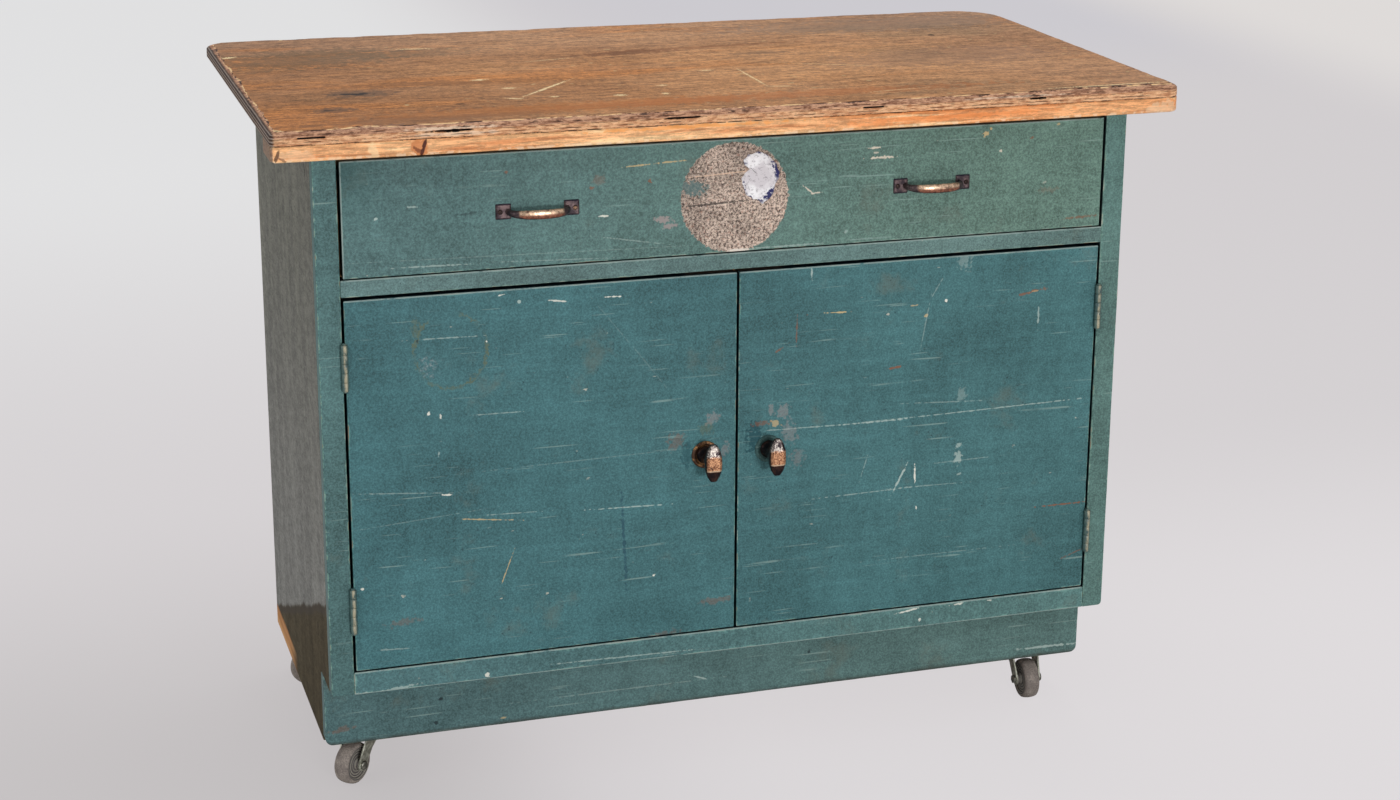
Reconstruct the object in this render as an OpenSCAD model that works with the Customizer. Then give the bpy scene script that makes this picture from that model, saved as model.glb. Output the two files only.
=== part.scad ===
// Painted workshop cabinet on swivel casters: one wide drawer over a two-door cupboard,
// under an overhanging worktop. Sizes are in millimetres and +Z is up.
// The origin is on the floor, midway under the worktop, and the front faces -Y.

/* [Worktop] */
// Overhang of the worktop past each side of the body
top_over_side = 50; // [20:1:80]
// Overhang of the worktop past the front of the body
top_over_front = 42; // [30:1:80]
// Overhang of the worktop past the back of the body
top_over_back = 85; // [20:1:120]
// Thickness of the pine boards under the worktop
core_t = 18.5; // [15:0.5:26]
// Depth of the pine board along the worktop's front edge
core_front_w = 60; // [50:1:90]
// Thickness of the plywood layer on the worktop
ply_t = 15; // [9:1:18]
// Plan radius of the worktop's worn back right corner
corner_back_right = 70; // [20:1:100]
// Plan radius of the worktop's back left corner
corner_back_left = 24; // [4:1:40]
// Plan radius of the worktop's front right corner
corner_front_right = 16; // [4:1:40]
// Plan radius of the worktop's front left corner
corner_front_left = 7; // [4:1:40]

/* [Body] */
// Width over the side panels
body_w = 994; // [800:1:1200]
// Depth from the face frame to the back
body_d = 470; // [420:10:560]
// Height of the toe kick below the face frame
kick_h = 92.5; // [70:0.5:120]
// Depth of the toe kick's recess behind the face frame
kick_recess = 65; // [40:1:75]
// Height of the cupboard opening
door_open_h = 456.5; // [380:0.5:560]
// Height of the drawer opening
drawer_open_h = 147.5; // [136:0.5:190]
// Thickness of the side panels
side_t = 18; // [15:1:22]
// Thickness of the face frame
frame_t = 19; // [16:1:22]
// Width of the stiles
stile_w = 27; // [22:1:50]
// Height of the rail between the drawer and the doors
mid_rail_h = 20; // [16:1:30]
// Height of the rail under the doors
bottom_rail_h = 28; // [24:1:40]
// Thickness of the toe kick and the rear plinth board
kick_t = 18; // [12:1:20]
// Radius of the toe kick's lower corners
kick_corner = 9; // [3:1:14]
// Radius of the stiles' lower outer corners
stile_corner = 5; // [2:1:10]
// Thickness of the bottom panel
bottom_t = 16; // [12:1:18]
// Thickness of the back panel
back_t = 6; // [4:0.5:9]
// Width of the rebate that holds the back panel
back_rebate = 9; // [6:1:12]

/* [Shelf and battens] */
// Thickness of the shelf
shelf_t = 18; // [15:1:22]
// Distance of the shelf's front edge behind the doors
shelf_setback = 12; // [11:0.5:30]
// Height of the knob axis above the top of the shelf
shelf_below_knob = 20; // [18:1:26]
// Height and width of the shelf cleats
cleat = 20; // [14:1:26]
// Distance of the cleats' front ends behind the shelf's edge
cleat_setback = 20; // [5:1:60]
// Width of the two stretchers under the worktop
stretcher_w = 60; // [40:1:90]
// Thickness of the stretchers
stretcher_t = 18; // [15:1:22]
// Width of the drawer runners
runner_w = 37; // [30:1:50]
// Height of the drawer guides above the runners
guide_h = 18; // [10:1:30]
// Width of the battens over the drawer sides
kicker_w = 30; // [24:1:44]
// Length of the door stop
stop_w = 120; // [60:1:200]
// Thickness of the door stop
stop_t = 12; // [8:1:18]
// How far the door stop hangs below the middle rail
stop_drop = 16; // [8:1:24]

/* [Drawer] */
// Gap between the drawer front and each stile
drawer_gap_side = 3.5; // [1.5:0.5:5]
// Gap under the drawer front
drawer_gap_bottom = 1.5; // [1:0.5:4]
// Gap over the drawer front
drawer_gap_top = 11; // [1:0.5:14]
// Thickness of the drawer front
drawer_front_t = 19; // [15:1:22]
// Thickness of the drawer sides and back
drawer_side_t = 12; // [10:1:16]
// Height of the drawer sides
drawer_side_h = 112; // [70:1:112]
// Length of the drawer sides behind the front
drawer_side_l = 420; // [340:5:430]
// Gap between the drawer sides and the stiles
box_gap = 3; // [2:0.5:6]
// Play between the drawer sides and their guides
guide_play = 0.8; // [0.4:0.1:1.5]
// Thickness of the drawer bottom
drawer_bottom_t = 5; // [4:0.5:6]
// Depth of the grooves that hold the drawer bottom
groove_d = 6; // [4:0.5:7]
// Height of the grooves above the lower edge of the drawer sides
groove_up = 10; // [8:1:14]

/* [Doors and hinges] */
// Thickness of the doors
door_t = 18.5; // [15:0.5:18.5]
// Gap between each door and its stile, filled by the closed hinge
hinge_gap = 3; // [2.5:0.1:4]
// Gap between the two doors
meeting_gap = 3; // [3:0.5:5]
// Gap under the doors
door_gap = 2; // [1.5:0.5:4]
// Gap between the doors and the rail above them
door_gap_top = 4; // [2:0.5:5]
// Length of a hinge
hinge_l = 55; // [40:1:76]
// Distance from a door's end to the middle of its hinge
hinge_inset = 77; // [60:1:110]
// Outer diameter of the hinge knuckles
knuckle_d = 8; // [7:0.5:9]
// Diameter of the hinge pins
hinge_pin_d = 3; // [2.5:0.25:4]
// Width of a hinge leaf behind the knuckle's middle
leaf_w = 19; // [16:1:21]
// Gap between two closed hinge leaves
leaf_gap = 0.3; // [0.2:0.05:0.5]

/* [Pulls] */
// Distance between the middles of the two pulls
pull_span = 484; // [300:1:600]
// Height of the pulls above the lower edge of the drawer front
pull_up = 66.5; // [40:0.5:90]
// Overall length of a pull
pull_l = 98; // [80:1:140]
// Side of a pull's square feet
foot = 18; // [16:1:24]
// Thickness of a pull's feet
foot_t = 2.2; // [1.5:0.1:4]
// Distance of the middle of a pull's bow from the drawer front
bow_out = 25; // [18:1:32]
// Height of the bow at its middle
bow_h = 11; // [8:0.5:16]
// Height of the bow at its ends
bow_end_h = 7; // [5:0.5:10]
// Thickness of the bow
bow_t = 5.4; // [4:0.2:8]

/* [Knobs] */
// Distance from the doors' meeting line to each knob
knob_back = 38.5; // [30:0.5:60]
// Height of the knobs above the lower edge of the doors
knob_up = 227.5; // [190:0.5:330]
// Length of the olive
olive_l = 46; // [34:1:56]
// Width of the olive
olive_w = 21; // [16:1:28]
// Thickness of the olive
olive_t = 13; // [10:1:16]
// Distance of the olive's middle from the door
olive_out = 33.5; // [28:0.5:40]
// Diameter of the rosettes
rosette_d = 34; // [28:1:44]
// Thickness of the rosettes
rosette_t = 2.5; // [2:0.5:4]
// Diameter of the knob's neck at the rosette
neck_d = 22; // [16:1:24]
// Diameter of the spindles
spindle_d = 7; // [6:0.5:9]
// Length of the latch tongues from the spindle's axis
tongue_l = 30; // [28:1:36]
// Width of the latch tongues
tongue_w = 8; // [6:0.5:10]
// Thickness of the latch tongues
tongue_t = 2.5; // [2:0.5:3]

/* [Casters] */
// Height from the floor to the top of the caster plates
caster_h = 72; // [66:1:90]
// Height of the caster boards above the plinth's lower edge
caster_recess = 8; // [4:1:14]
// Wheel diameter
wheel_d = 52; // [44:1:56]
// Wheel width
wheel_w = 20; // [14:1:24]
// Horizontal distance from the swivel axis to the axle
trail = 26; // [20:1:30]
// Distance from the left side panel's inner face to the swivel axes
caster_in_left = 36; // [31:0.5:80]
// Distance from the right side panel's inner face to the swivel axes
caster_in_right = 42; // [31:0.5:80]
// Distance from the toe kick's back face to the front swivel axes
caster_in_front = 28; // [28:1:40]
// Distance from the rear plinth board to the rear swivel axes
caster_in_rear = 30; // [25:1:60]
// Steering angle of each wheel at rest: front left, front right, rear left, rear right
caster_turn = [46, 3, 62, -24];
// Length of the caster plates
plate_l = 60; // [54:1:61]
// Width of the caster plates
plate_w = 48; // [44:1:49]
// Thickness of the caster plates
plate_t = 2.5; // [2:0.5:4]
// Diameter of the swivel race
race_d = 34; // [30:1:36]
// Thickness of the sheet that the forks are pressed from
fork_t = 2.4; // [2:0.2:3]
// Play between a wheel's tread and each leg of its fork
leg_play = 4; // [1.5:0.5:5]
// How far each leg of a fork leans out between its eye and its crown
leg_flare = 3; // [1:0.5:4]
// Diameter of the axle bolts
axle_d = 6; // [5:0.5:8]
// Diameter of the kingpins
kingpin_d = 8; // [6:0.5:10]
// Width of the boards that carry the casters
caster_board_w = 80; // [70:1:110]
// Thickness of the boards that carry the casters
caster_board_t = 18; // [15:1:22]

/* [Fits] */
// Radial running fit of pins, spindles and axles in their bores
run_fit = 0.05; // [0.02:0.01:0.09]
// Radial play of screws in their holes
screw_fit = 0.05; // [0.02:0.01:0.1]
// Gap between faces that slide or turn past each other
slide_gap = 0.3; // [0.25:0.05:0.4]
// Gap round a panel in its groove or rebate
panel_gap = 0.5; // [0.2:0.1:1]

/* [Hidden] */
$fn = 48;

teal = [0.31, 0.46, 0.46];
teal_grey = [0.34, 0.47, 0.46];
side_grey = [0.43, 0.43, 0.39];
orange_wood = [0.63, 0.45, 0.31];
pine = [0.80, 0.60, 0.40];
raw_wood = [0.70, 0.58, 0.42];
ply_wood = [0.66, 0.52, 0.36];
bronze = [0.24, 0.17, 0.14];
copper = [0.66, 0.42, 0.27];
steel = [0.62, 0.62, 0.60];
zinc = [0.56, 0.57, 0.53];
tyre_grey = [0.42, 0.39, 0.36];

// Overlap of a cutting tool past the face that it opens
eps = 1;
half_w = body_w / 2;
inner_w = half_w - side_t;
open_w = half_w - stile_w;
top_w = body_w + 2 * top_over_side;
top_d = body_d + top_over_front + top_over_back;

y_front = top_over_front - top_d / 2;
y_frame_back = y_front + frame_t;
y_back = y_front + body_d;
y_back_inner = y_back - back_t;
y_kick = y_front + kick_recess;
y_kick_back = y_kick + kick_t;
y_rear_plinth = y_back_inner - kick_t;
y_door_back = y_front + door_t;

z_base = caster_h - caster_recess;
z_frame = z_base + kick_h;
z_open = z_frame + bottom_rail_h;
z_open_top = z_open + door_open_h;
z_drawer = z_open_top + mid_rail_h;
z_under = z_drawer + drawer_open_h;
z_core_top = z_under + core_t;
z_panel_under = z_open - bottom_t;

door_in = open_w - hinge_gap;
door_low = z_open + door_gap;
door_high = z_open_top - door_gap_top;
door_half_gap = meeting_gap / 2;

knob_z = door_low + knob_up;
shelf_top = knob_z - shelf_below_knob;
y_shelf = y_door_back + shelf_setback;

box_half = open_w - box_gap;
box_low = z_drawer + slide_gap;
box_high = box_low + drawer_side_h;
front_half = open_w - drawer_gap_side;
front_low = z_drawer + drawer_gap_bottom;
front_high = z_under - drawer_gap_top;
y_front_back = y_front + drawer_front_t;
y_box_back = y_front_back + drawer_side_l;
groove_low = box_low + groove_up;
groove_high = groove_low + drawer_bottom_t + panel_gap / 2;

// Screws: shank diameter, head diameter and length. A head's top is narrower and slotted.
hinge_screw = [3, 5.4, 12];
hinge_screw_edge = 5.5;
hinge_screw_end = 8;
pull_screw = [3, 6, 15];
pull_head_h = 1.6;
pull_head_edge = 2;
caster_screw = [4, 8.4, 14];
caster_head_h = 2.4;
plate_hole_edge = 7;
top_screw = [4, 8, 32];
top_screw_xs = [-0.8, 0, 0.8];
pan_top = 0.72;
slot_w = 0.8;

// Hinges: the barrel stands clear of the door's face
knuckle_r = knuckle_d / 2;
knuckle_count = 5;
knuckle_l = hinge_l / knuckle_count;
hinge_x = open_w - hinge_gap / 2;
hinge_y = y_front - knuckle_r - slide_gap;
leaf_t = (hinge_gap - leaf_gap) / 2;
hinge_zs = [door_low + hinge_inset, door_high - hinge_inset];

pull_z = front_low + pull_up;
pull_foot_in = pull_l / 2 - foot;
bow_overlap = 1;
bow_half = pull_foot_in + bow_t / 2 + bow_overlap;
pull_screw_x = pull_l / 2 - pull_screw[1] / 2 - pull_head_edge;

// Latch: the tongue turns down into a channel on the shelf's edge
knob_x = door_half_gap + knob_back;
keeper_sheet = 2;
keeper_w = 26;
keeper_play = 0.6;
keeper_clear = 4;
keeper_back_room = 2.4;
tongue_y = y_door_back + keeper_sheet + keeper_back_room;
keeper_low = knob_z - tongue_l - keeper_clear;
keeper_high = knob_z - tongue_w / 2 - keeper_clear;
latch_nut_t = 3;
spindle_end = tongue_y + tongue_t + latch_nut_t;
olive_y = y_front - olive_out;

// Casters
plate_low = caster_h - plate_t;
race_h = 3;
crown_top = plate_low - race_h - slide_gap;
crown_low = crown_top - fork_t;
kingpin_head_h = 2.4;
wheel_r = wheel_d / 2;
leg_in = wheel_w / 2 + leg_play;
leg_out = leg_in + fork_t;
crown_half = leg_out + leg_flare;
eye_rim = 5;
leg_eye_r = axle_d / 2 + eye_rim;
leg_half_top = race_d / 2 + 1;
leg_waist = [-trail / 4, (wheel_r + crown_low) / 2 - 3];
axle_head_h = 3.6;
axle_head_d = axle_d * 1.9;
caster_xs = [-inner_w + caster_in_left, inner_w - caster_in_right];
caster_ys = [y_kick_back + caster_in_front, y_rear_plinth - caster_in_rear];
caster_at = [for (y = caster_ys, x = caster_xs) [x, y]];

// A box from its lowest corner to its highest one
module block(low, high) {
    translate(low) cube(high - low);
}

// The same shape on both sides of the middle plane
module both_sides() {
    children();
    mirror([1, 0, 0]) children();
}

// What a corner rounded to radius r loses, with the corner at the origin
module corner_waste(r) {
    difference() {
        translate([-eps, -eps]) square(r + eps);
        translate([r, r]) circle(r, $fn = 64);
    }
}

module top_plan() {
    hx = top_w / 2;
    hy = top_d / 2;
    difference() {
        square([top_w, top_d], center = true);
        translate([-hx, -hy]) corner_waste(corner_front_left);
        translate([hx, -hy]) rotate(90) corner_waste(corner_front_right);
        translate([hx, hy]) rotate(180) corner_waste(corner_back_right);
        translate([-hx, hy]) rotate(270) corner_waste(corner_back_left);
    }
}

// A countersunk screw that enters along +Z, with its head's face at z = 0
module csk_screw(s, play = 0) {
    csk = (s[1] - s[0]) / 2;
    cylinder(d1 = s[1] + 2 * play, d2 = s[0] + 2 * play, h = csk);
    cylinder(d = s[0] + 2 * play, h = s[2] + play);
}

// A domed screw that enters along +Z, with its head below z = 0
module pan_screw(s, head_h) {
    difference() {
        translate([0, 0, -head_h]) cylinder(d1 = s[1] * pan_top, d2 = s[1], h = head_h);
        translate([-s[1], -slot_w / 2, -head_h - eps]) cube([2 * s[1], slot_w, eps + head_h / 2]);
    }
    cylinder(d = s[0], h = s[2]);
}

// Top of the body
stretcher_ys = [y_frame_back, y_back_inner - stretcher_w];

module at_top_screws() {
    for (y = stretcher_ys, k = top_screw_xs) {
        translate([k * inner_w, y + stretcher_w / 2, z_under - stretcher_t]) children();
    }
}

module worktop_ply() {
    color(orange_wood) translate([0, 0, z_core_top]) linear_extrude(ply_t) top_plan();
}

// A board along the front as long as the worktop, and boards as wide as the body behind it
module worktop_core() {
    y_front_edge = -top_d / 2;
    color(pine) difference() {
        translate([0, 0, z_under]) linear_extrude(core_t) intersection() {
            top_plan();
            union() {
                translate([-top_w / 2, y_front_edge]) square([top_w, core_front_w]);
                translate([-half_w, y_front_edge]) square([body_w, y_back - y_front_edge]);
            }
        }
        at_top_screws() csk_screw(top_screw, screw_fit);
    }
}

module top_stretchers() {
    color(raw_wood) difference() {
        for (y = stretcher_ys) {
            block([-inner_w, y, z_under - stretcher_t], [inner_w, y + stretcher_w, z_under]);
        }
        at_top_screws() csk_screw(top_screw, screw_fit);
    }
}

module worktop_screws() {
    color(steel) at_top_screws() csk_screw(top_screw);
}

// Carcass
module side_panel() {
    difference() {
        block([-half_w, y_frame_back, z_base], [-inner_w, y_back, z_under]);
        block([-half_w - eps, y_frame_back - eps, z_base - eps],
              [-inner_w + eps, y_kick_back, z_frame]);
        block([-inner_w - back_rebate, y_back_inner, z_base - eps],
              [-inner_w + eps, y_back + eps, z_under + eps]);
    }
}

module side_left() {
    color(side_grey) side_panel();
}

module side_right() {
    color(side_grey) mirror([1, 0, 0]) side_panel();
}

module stile() {
    difference() {
        translate([0, y_frame_back, 0]) rotate([90, 0, 0]) linear_extrude(frame_t) {
            difference() {
                translate([-half_w, z_frame]) square([stile_w, z_under - z_frame]);
                translate([-half_w, z_frame]) corner_waste(stile_corner);
            }
        }
        for (z = hinge_zs) {
            at_leaf_screws(z) rotate([0, -90, 0]) csk_screw(hinge_screw, screw_fit);
        }
    }
}

module stile_left() {
    color(teal) stile();
}

module stile_right() {
    color(teal) mirror([1, 0, 0]) stile();
}

module middle_rail() {
    color(teal) block([-open_w, y_front, z_open_top], [open_w, y_frame_back, z_drawer]);
}

module bottom_rail() {
    color(teal) block([-open_w, y_front, z_frame], [open_w, y_frame_back, z_open]);
}

// The toe kick covers the notched sides, and its tongue reaches the bottom panel
module toe_kick() {
    color(teal) translate([0, y_kick_back, 0]) rotate([90, 0, 0]) linear_extrude(kick_t) {
        difference() {
            translate([-half_w, z_base]) square([body_w, kick_h]);
            translate([-half_w, z_base]) corner_waste(kick_corner);
            translate([half_w, z_base]) rotate(90) corner_waste(kick_corner);
        }
        translate([-inner_w, z_frame]) square([2 * inner_w, z_panel_under - z_frame]);
    }
}

module rear_plinth() {
    color(raw_wood) block([-inner_w, y_rear_plinth, z_base], [inner_w, y_back_inner, z_panel_under]);
}

module bottom_panel() {
    color(ply_wood) block([-inner_w, y_frame_back, z_panel_under], [inner_w, y_back_inner, z_open]);
}

module back_panel() {
    reach = inner_w + back_rebate - panel_gap;
    color(ply_wood) block([-reach, y_back_inner, z_base], [reach, y_back, z_under]);
}

module shelf() {
    color(ply_wood) block([-inner_w, y_shelf, shelf_top - shelf_t], [inner_w, y_back_inner, shelf_top]);
}

module shelf_cleats() {
    low = shelf_top - shelf_t - cleat;
    color(raw_wood) both_sides() {
        block([-inner_w, y_shelf + cleat_setback, low],
              [-inner_w + cleat, y_back_inner, low + cleat]);
    }
}

// Drawer runners are level with the middle rail, and the guides stand on them
module drawer_runners() {
    color(raw_wood) both_sides() {
        block([-inner_w, y_frame_back, z_open_top], [-inner_w + runner_w, y_back_inner, z_drawer]);
    }
}

module drawer_guides() {
    color(raw_wood) both_sides() {
        block([-inner_w, y_frame_back, z_drawer],
              [-box_half - guide_play, y_back_inner, z_drawer + guide_h]);
    }
}

module drawer_kickers() {
    color(raw_wood) both_sides() {
        block([-inner_w, stretcher_ys[0] + stretcher_w, box_high + 2 * guide_play],
              [-inner_w + kicker_w, stretcher_ys[1], z_under]);
    }
}

module door_stop() {
    color(raw_wood) {
        block([-stop_w / 2, y_frame_back, z_open_top - stop_drop],
              [stop_w / 2, y_frame_back + stop_t, z_drawer - slide_gap]);
    }
}

// A channel of bent sheet on the shelf's edge, open at its top and both ends
module latch_keepers() {
    keeper_front = tongue_y - keeper_play - keeper_sheet;
    color(steel) both_sides() {
        translate([knob_x - keeper_w / 2, 0, 0]) rotate([90, 0, 90]) linear_extrude(keeper_w) {
            difference() {
                translate([keeper_front, keeper_low])
                    square([y_shelf - keeper_front, keeper_high - keeper_low]);
                translate([keeper_front + keeper_sheet, keeper_low + keeper_sheet])
                    square([y_shelf - keeper_front - 2 * keeper_sheet, keeper_high - keeper_low]);
                translate([y_shelf - keeper_sheet - eps, shelf_top])
                    square([keeper_sheet + 2 * eps, keeper_high - shelf_top + eps]);
            }
        }
    }
}

// Casters
module at_casters() {
    for (p = caster_at) translate([p[0], p[1], 0]) children();
}

module at_plate_screws() {
    px = plate_l / 2 - plate_hole_edge;
    py = plate_w / 2 - plate_hole_edge;
    for (x = [-px, px], y = [-py, py]) translate([x, y, plate_low]) children();
}

module screw_hole(s, play) {
    translate([0, 0, -eps]) cylinder(d = s[0] + 2 * play, h = s[2] + play + eps);
}

module caster_boards() {
    color(raw_wood) difference() {
        for (y = [y_kick_back, y_rear_plinth - caster_board_w]) {
            block([-inner_w, y, caster_h], [inner_w, y + caster_board_w, caster_h + caster_board_t]);
        }
        at_casters() at_plate_screws() screw_hole(caster_screw, screw_fit);
    }
}

module caster_plates() {
    color(zinc) at_casters() difference() {
        union() {
            block([-plate_l / 2, -plate_w / 2, plate_low], [plate_l / 2, plate_w / 2, caster_h]);
            translate([0, 0, plate_low - race_h]) cylinder(d1 = race_d - 4, d2 = race_d, h = race_h);
        }
        at_plate_screws() screw_hole(caster_screw, screw_fit);
        translate([0, 0, plate_low - race_h - eps])
            cylinder(d = kingpin_d + 2 * screw_fit, h = plate_t + race_h + 2 * eps);
    }
}

module caster_kingpins() {
    low = crown_low - slide_gap - kingpin_head_h;
    color(steel) at_casters() {
        translate([0, 0, low]) cylinder(d = kingpin_d, h = caster_h - low);
        translate([0, 0, low]) cylinder(d1 = kingpin_d + 3, d2 = kingpin_d + 6, h = kingpin_head_h);
    }
}

module caster_screws() {
    color(steel) at_casters() at_plate_screws() pan_screw(caster_screw, caster_head_h);
}

// In a caster's own frame the wheel trails towards -Y before it is steered
module steered(i) {
    translate([caster_at[i][0], caster_at[i][1], 0]) rotate(-caster_turn[i]) children();
}

module on_axle() {
    translate([0, -trail, wheel_r]) rotate([0, 90, 0]) children();
}

module leg_outline() {
    top = crown_top;
    polygon([
        [leg_half_top, top],
        [-leg_half_top, top],
        [-leg_half_top, crown_low - 4],
        [-trail - leg_eye_r, wheel_r + 1],
        [-trail - leg_eye_r * 0.72, wheel_r - leg_eye_r * 0.69],
        [-trail + leg_eye_r * 0.80, wheel_r - leg_eye_r * 0.60],
        leg_waist,
        [leg_half_top, crown_low - 2]
    ]);
    translate([-trail, wheel_r]) circle(leg_eye_r);
}

// A leg seen along the wheel's plane: straight round its eye, then leaning out to the crown
module leg_section() {
    bend = wheel_r + leg_eye_r;
    polygon([
        [leg_in, 0], [leg_out, 0], [leg_out, bend], [crown_half, crown_low], [crown_half, crown_top],
        [crown_half - fork_t, crown_top], [crown_half - fork_t, crown_low], [leg_in, bend]
    ]);
}

module caster_fork() {
    difference() {
        union() {
            translate([0, 0, crown_low]) cylinder(d = race_d + 4, h = fork_t);
            block([-crown_half, -leg_half_top, crown_low], [crown_half, leg_half_top, crown_top]);
            both_sides() intersection() {
                rotate([90, 0, 90]) linear_extrude(crown_half + eps) leg_outline();
                translate([0, leg_half_top + eps, 0]) rotate([90, 0, 0]) {
                    linear_extrude(leg_half_top + trail + leg_eye_r + 2 * eps) leg_section();
                }
            }
        }
        on_axle() cylinder(d = axle_d + 2 * screw_fit, h = 4 * leg_out, center = true);
        translate([0, 0, crown_low - eps]) {
            cylinder(d = kingpin_d + 2 * run_fit, h = fork_t + 2 * eps);
        }
    }
}

// An axle bolt has a hexagonal head on one leg and a domed nut on the other
module caster_axle() {
    on_axle() {
        translate([0, 0, -leg_out]) cylinder(d = axle_d, h = 2 * leg_out + axle_head_h);
        translate([0, 0, -leg_out - axle_head_h]) cylinder(d = axle_head_d, h = axle_head_h, $fn = 6);
        translate([0, 0, leg_out]) cylinder(d1 = axle_head_d, d2 = axle_d * 1.5, h = axle_head_h);
    }
}

// A moulded wheel: crowned tread, shoulder, dished side and a hub that stands out to the legs
module caster_wheel() {
    w = wheel_w / 2;
    hub = leg_in - slide_gap;
    hub_r = axle_d / 2 + 4;
    rim_r = wheel_r * 0.74;
    half = [
        [axle_d / 2 + run_fit, 0], [axle_d / 2 + run_fit, hub], [hub_r, hub], [hub_r + 1, w - 2.5],
        [rim_r - 1, w - 2.5], [rim_r, w], [wheel_r - 4, w], [wheel_r - 1.2, w - 2],
        [wheel_r - 0.4, w * 0.5], [wheel_r, 0]
    ];
    on_axle() rotate_extrude($fn = 96) {
        polygon(concat(half, [for (i = [len(half) - 2:-1:1]) [half[i][0], -half[i][1]]]));
    }
}

module fork_front_left() {
    color(zinc) steered(0) caster_fork();
}

module fork_front_right() {
    color(zinc) steered(1) caster_fork();
}

module fork_rear_left() {
    color(zinc) steered(2) caster_fork();
}

module fork_rear_right() {
    color(zinc) steered(3) caster_fork();
}

module axle_front_left() {
    color(steel) steered(0) caster_axle();
}

module axle_front_right() {
    color(steel) steered(1) caster_axle();
}

module axle_rear_left() {
    color(steel) steered(2) caster_axle();
}

module axle_rear_right() {
    color(steel) steered(3) caster_axle();
}

module wheel_front_left() {
    color(tyre_grey) steered(0) caster_wheel();
}

module wheel_front_right() {
    color(tyre_grey) steered(1) caster_wheel();
}

module wheel_rear_left() {
    color(tyre_grey) steered(2) caster_wheel();
}

module wheel_rear_right() {
    color(tyre_grey) steered(3) caster_wheel();
}

// Drawer
module drawer_front() {
    color(teal_grey) difference() {
        block([-front_half, y_front, front_low], [front_half, y_front_back, front_high]);
        block([-box_half + groove_d, y_front_back - groove_d, groove_low],
              [box_half - groove_d, y_front_back + eps, groove_high]);
        at_pull_screws() translate([0, 0, -eps]) {
            cylinder(d = pull_screw[0] + 2 * screw_fit, h = pull_screw[2] + eps);
        }
    }
}

module drawer_sides() {
    color(raw_wood) both_sides() difference() {
        block([-box_half, y_front_back, box_low], [-box_half + drawer_side_t, y_box_back, box_high]);
        block([-box_half + drawer_side_t - groove_d, y_front_back - eps, groove_low],
              [-box_half + drawer_side_t + eps, y_box_back + eps, groove_high]);
    }
}

module drawer_back() {
    color(raw_wood) {
        block([-box_half + drawer_side_t, y_box_back - drawer_side_t, groove_high],
              [box_half - drawer_side_t, y_box_back, box_high]);
    }
}

module drawer_bottom() {
    reach = box_half - drawer_side_t + groove_d - panel_gap;
    color(ply_wood) {
        block([-reach, y_front_back - groove_d + panel_gap, groove_low],
              [reach, y_box_back, groove_low + drawer_bottom_t]);
    }
}

// Pulls: a cast bow that swells at its middle, on two square feet
bow_stations = 17;
bow_sides = 12;

function bow_angle(i) = 180 * i / (bow_stations - 1);
function flat_power(v, p) = sign(v) * pow(abs(v), p);
function bow_point(a) = [-bow_half * flat_power(cos(a), 0.85), -bow_out * pow(sin(a), 0.75)];
function bow_centre(i) = bow_point(min(179.5, max(0.5, bow_angle(i))));
function bow_normal(i) = let (
    a = min(178, max(2, bow_angle(i))),
    t = bow_point(a + 1.5) - bow_point(a - 1.5)
) i == 0 || i == bow_stations - 1 ? [sign(bow_centre(i)[0]), 0] : [t[1], -t[0]] / norm(t);
function bow_half_h(i) = (bow_end_h + (bow_h - bow_end_h) * pow(sin(bow_angle(i)), 1.5)) / 2;
function bow_ring(i) = [for (j = [0:bow_sides - 1]) let (
    q = 360 * j / bow_sides,
    c = bow_centre(i),
    n = bow_normal(i) * bow_t / 2 * cos(q),
    y = i == 0 || i == bow_stations - 1 ? 0 : c[1] + n[1]
) [c[0] + n[0], y, bow_half_h(i) * sin(q)]];

// Triangles between rings of n points each, with flat ends
function loft_faces(n, rings) = concat(
    [for (i = [0:rings - 2], j = [0:n - 1]) [i * n + j, i * n + (j + 1) % n, (i + 1) * n + j]],
    [for (i = [0:rings - 2], j = [0:n - 1])
        [i * n + (j + 1) % n, (i + 1) * n + (j + 1) % n, (i + 1) * n + j]],
    [[for (j = [n - 1:-1:0]) j], [for (j = [0:n - 1]) (rings - 1) * n + j]]
);

module at_pull_screws() {
    for (s = [-1, 1], k = [-1, 1]) {
        translate([s * pull_span / 2 + k * pull_screw_x, y_front, pull_z]) rotate([-90, 0, 0]) children();
    }
}

module pull() {
    points = [for (i = [0:bow_stations - 1]) each bow_ring(i)];
    difference() {
        union() {
            translate([0, -foot_t / 2, 0]) polyhedron(points, loft_faces(bow_sides, bow_stations));
            both_sides() block([pull_foot_in, -foot_t, -foot / 2], [pull_l / 2, 0, foot / 2]);
        }
        both_sides() translate([pull_screw_x, eps, 0]) rotate([90, 0, 0]) {
            cylinder(d = pull_screw[0] + 2 * screw_fit, h = foot_t + 2 * eps);
        }
    }
}

module pull_left() {
    color(copper) translate([-pull_span / 2, y_front, pull_z]) pull();
}

module pull_right() {
    color(copper) translate([pull_span / 2, y_front, pull_z]) pull();
}

module pull_screws() {
    color(bronze) at_pull_screws() translate([0, 0, -foot_t]) pan_screw(pull_screw, pull_head_h);
}

// Doors
module door() {
    difference() {
        block([-door_in, y_front, door_low], [-door_half_gap, y_door_back, door_high]);
        translate([-knob_x, y_front - eps, knob_z]) rotate([-90, 0, 0]) {
            cylinder(d = spindle_d + 2 * run_fit, h = door_t + 2 * eps);
        }
        for (z = hinge_zs) {
            at_door_screws(z) rotate([0, 90, 0]) csk_screw(hinge_screw, screw_fit);
        }
    }
}

module door_left() {
    color(teal) door();
}

module door_right() {
    color(teal) mirror([1, 0, 0]) door();
}

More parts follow.
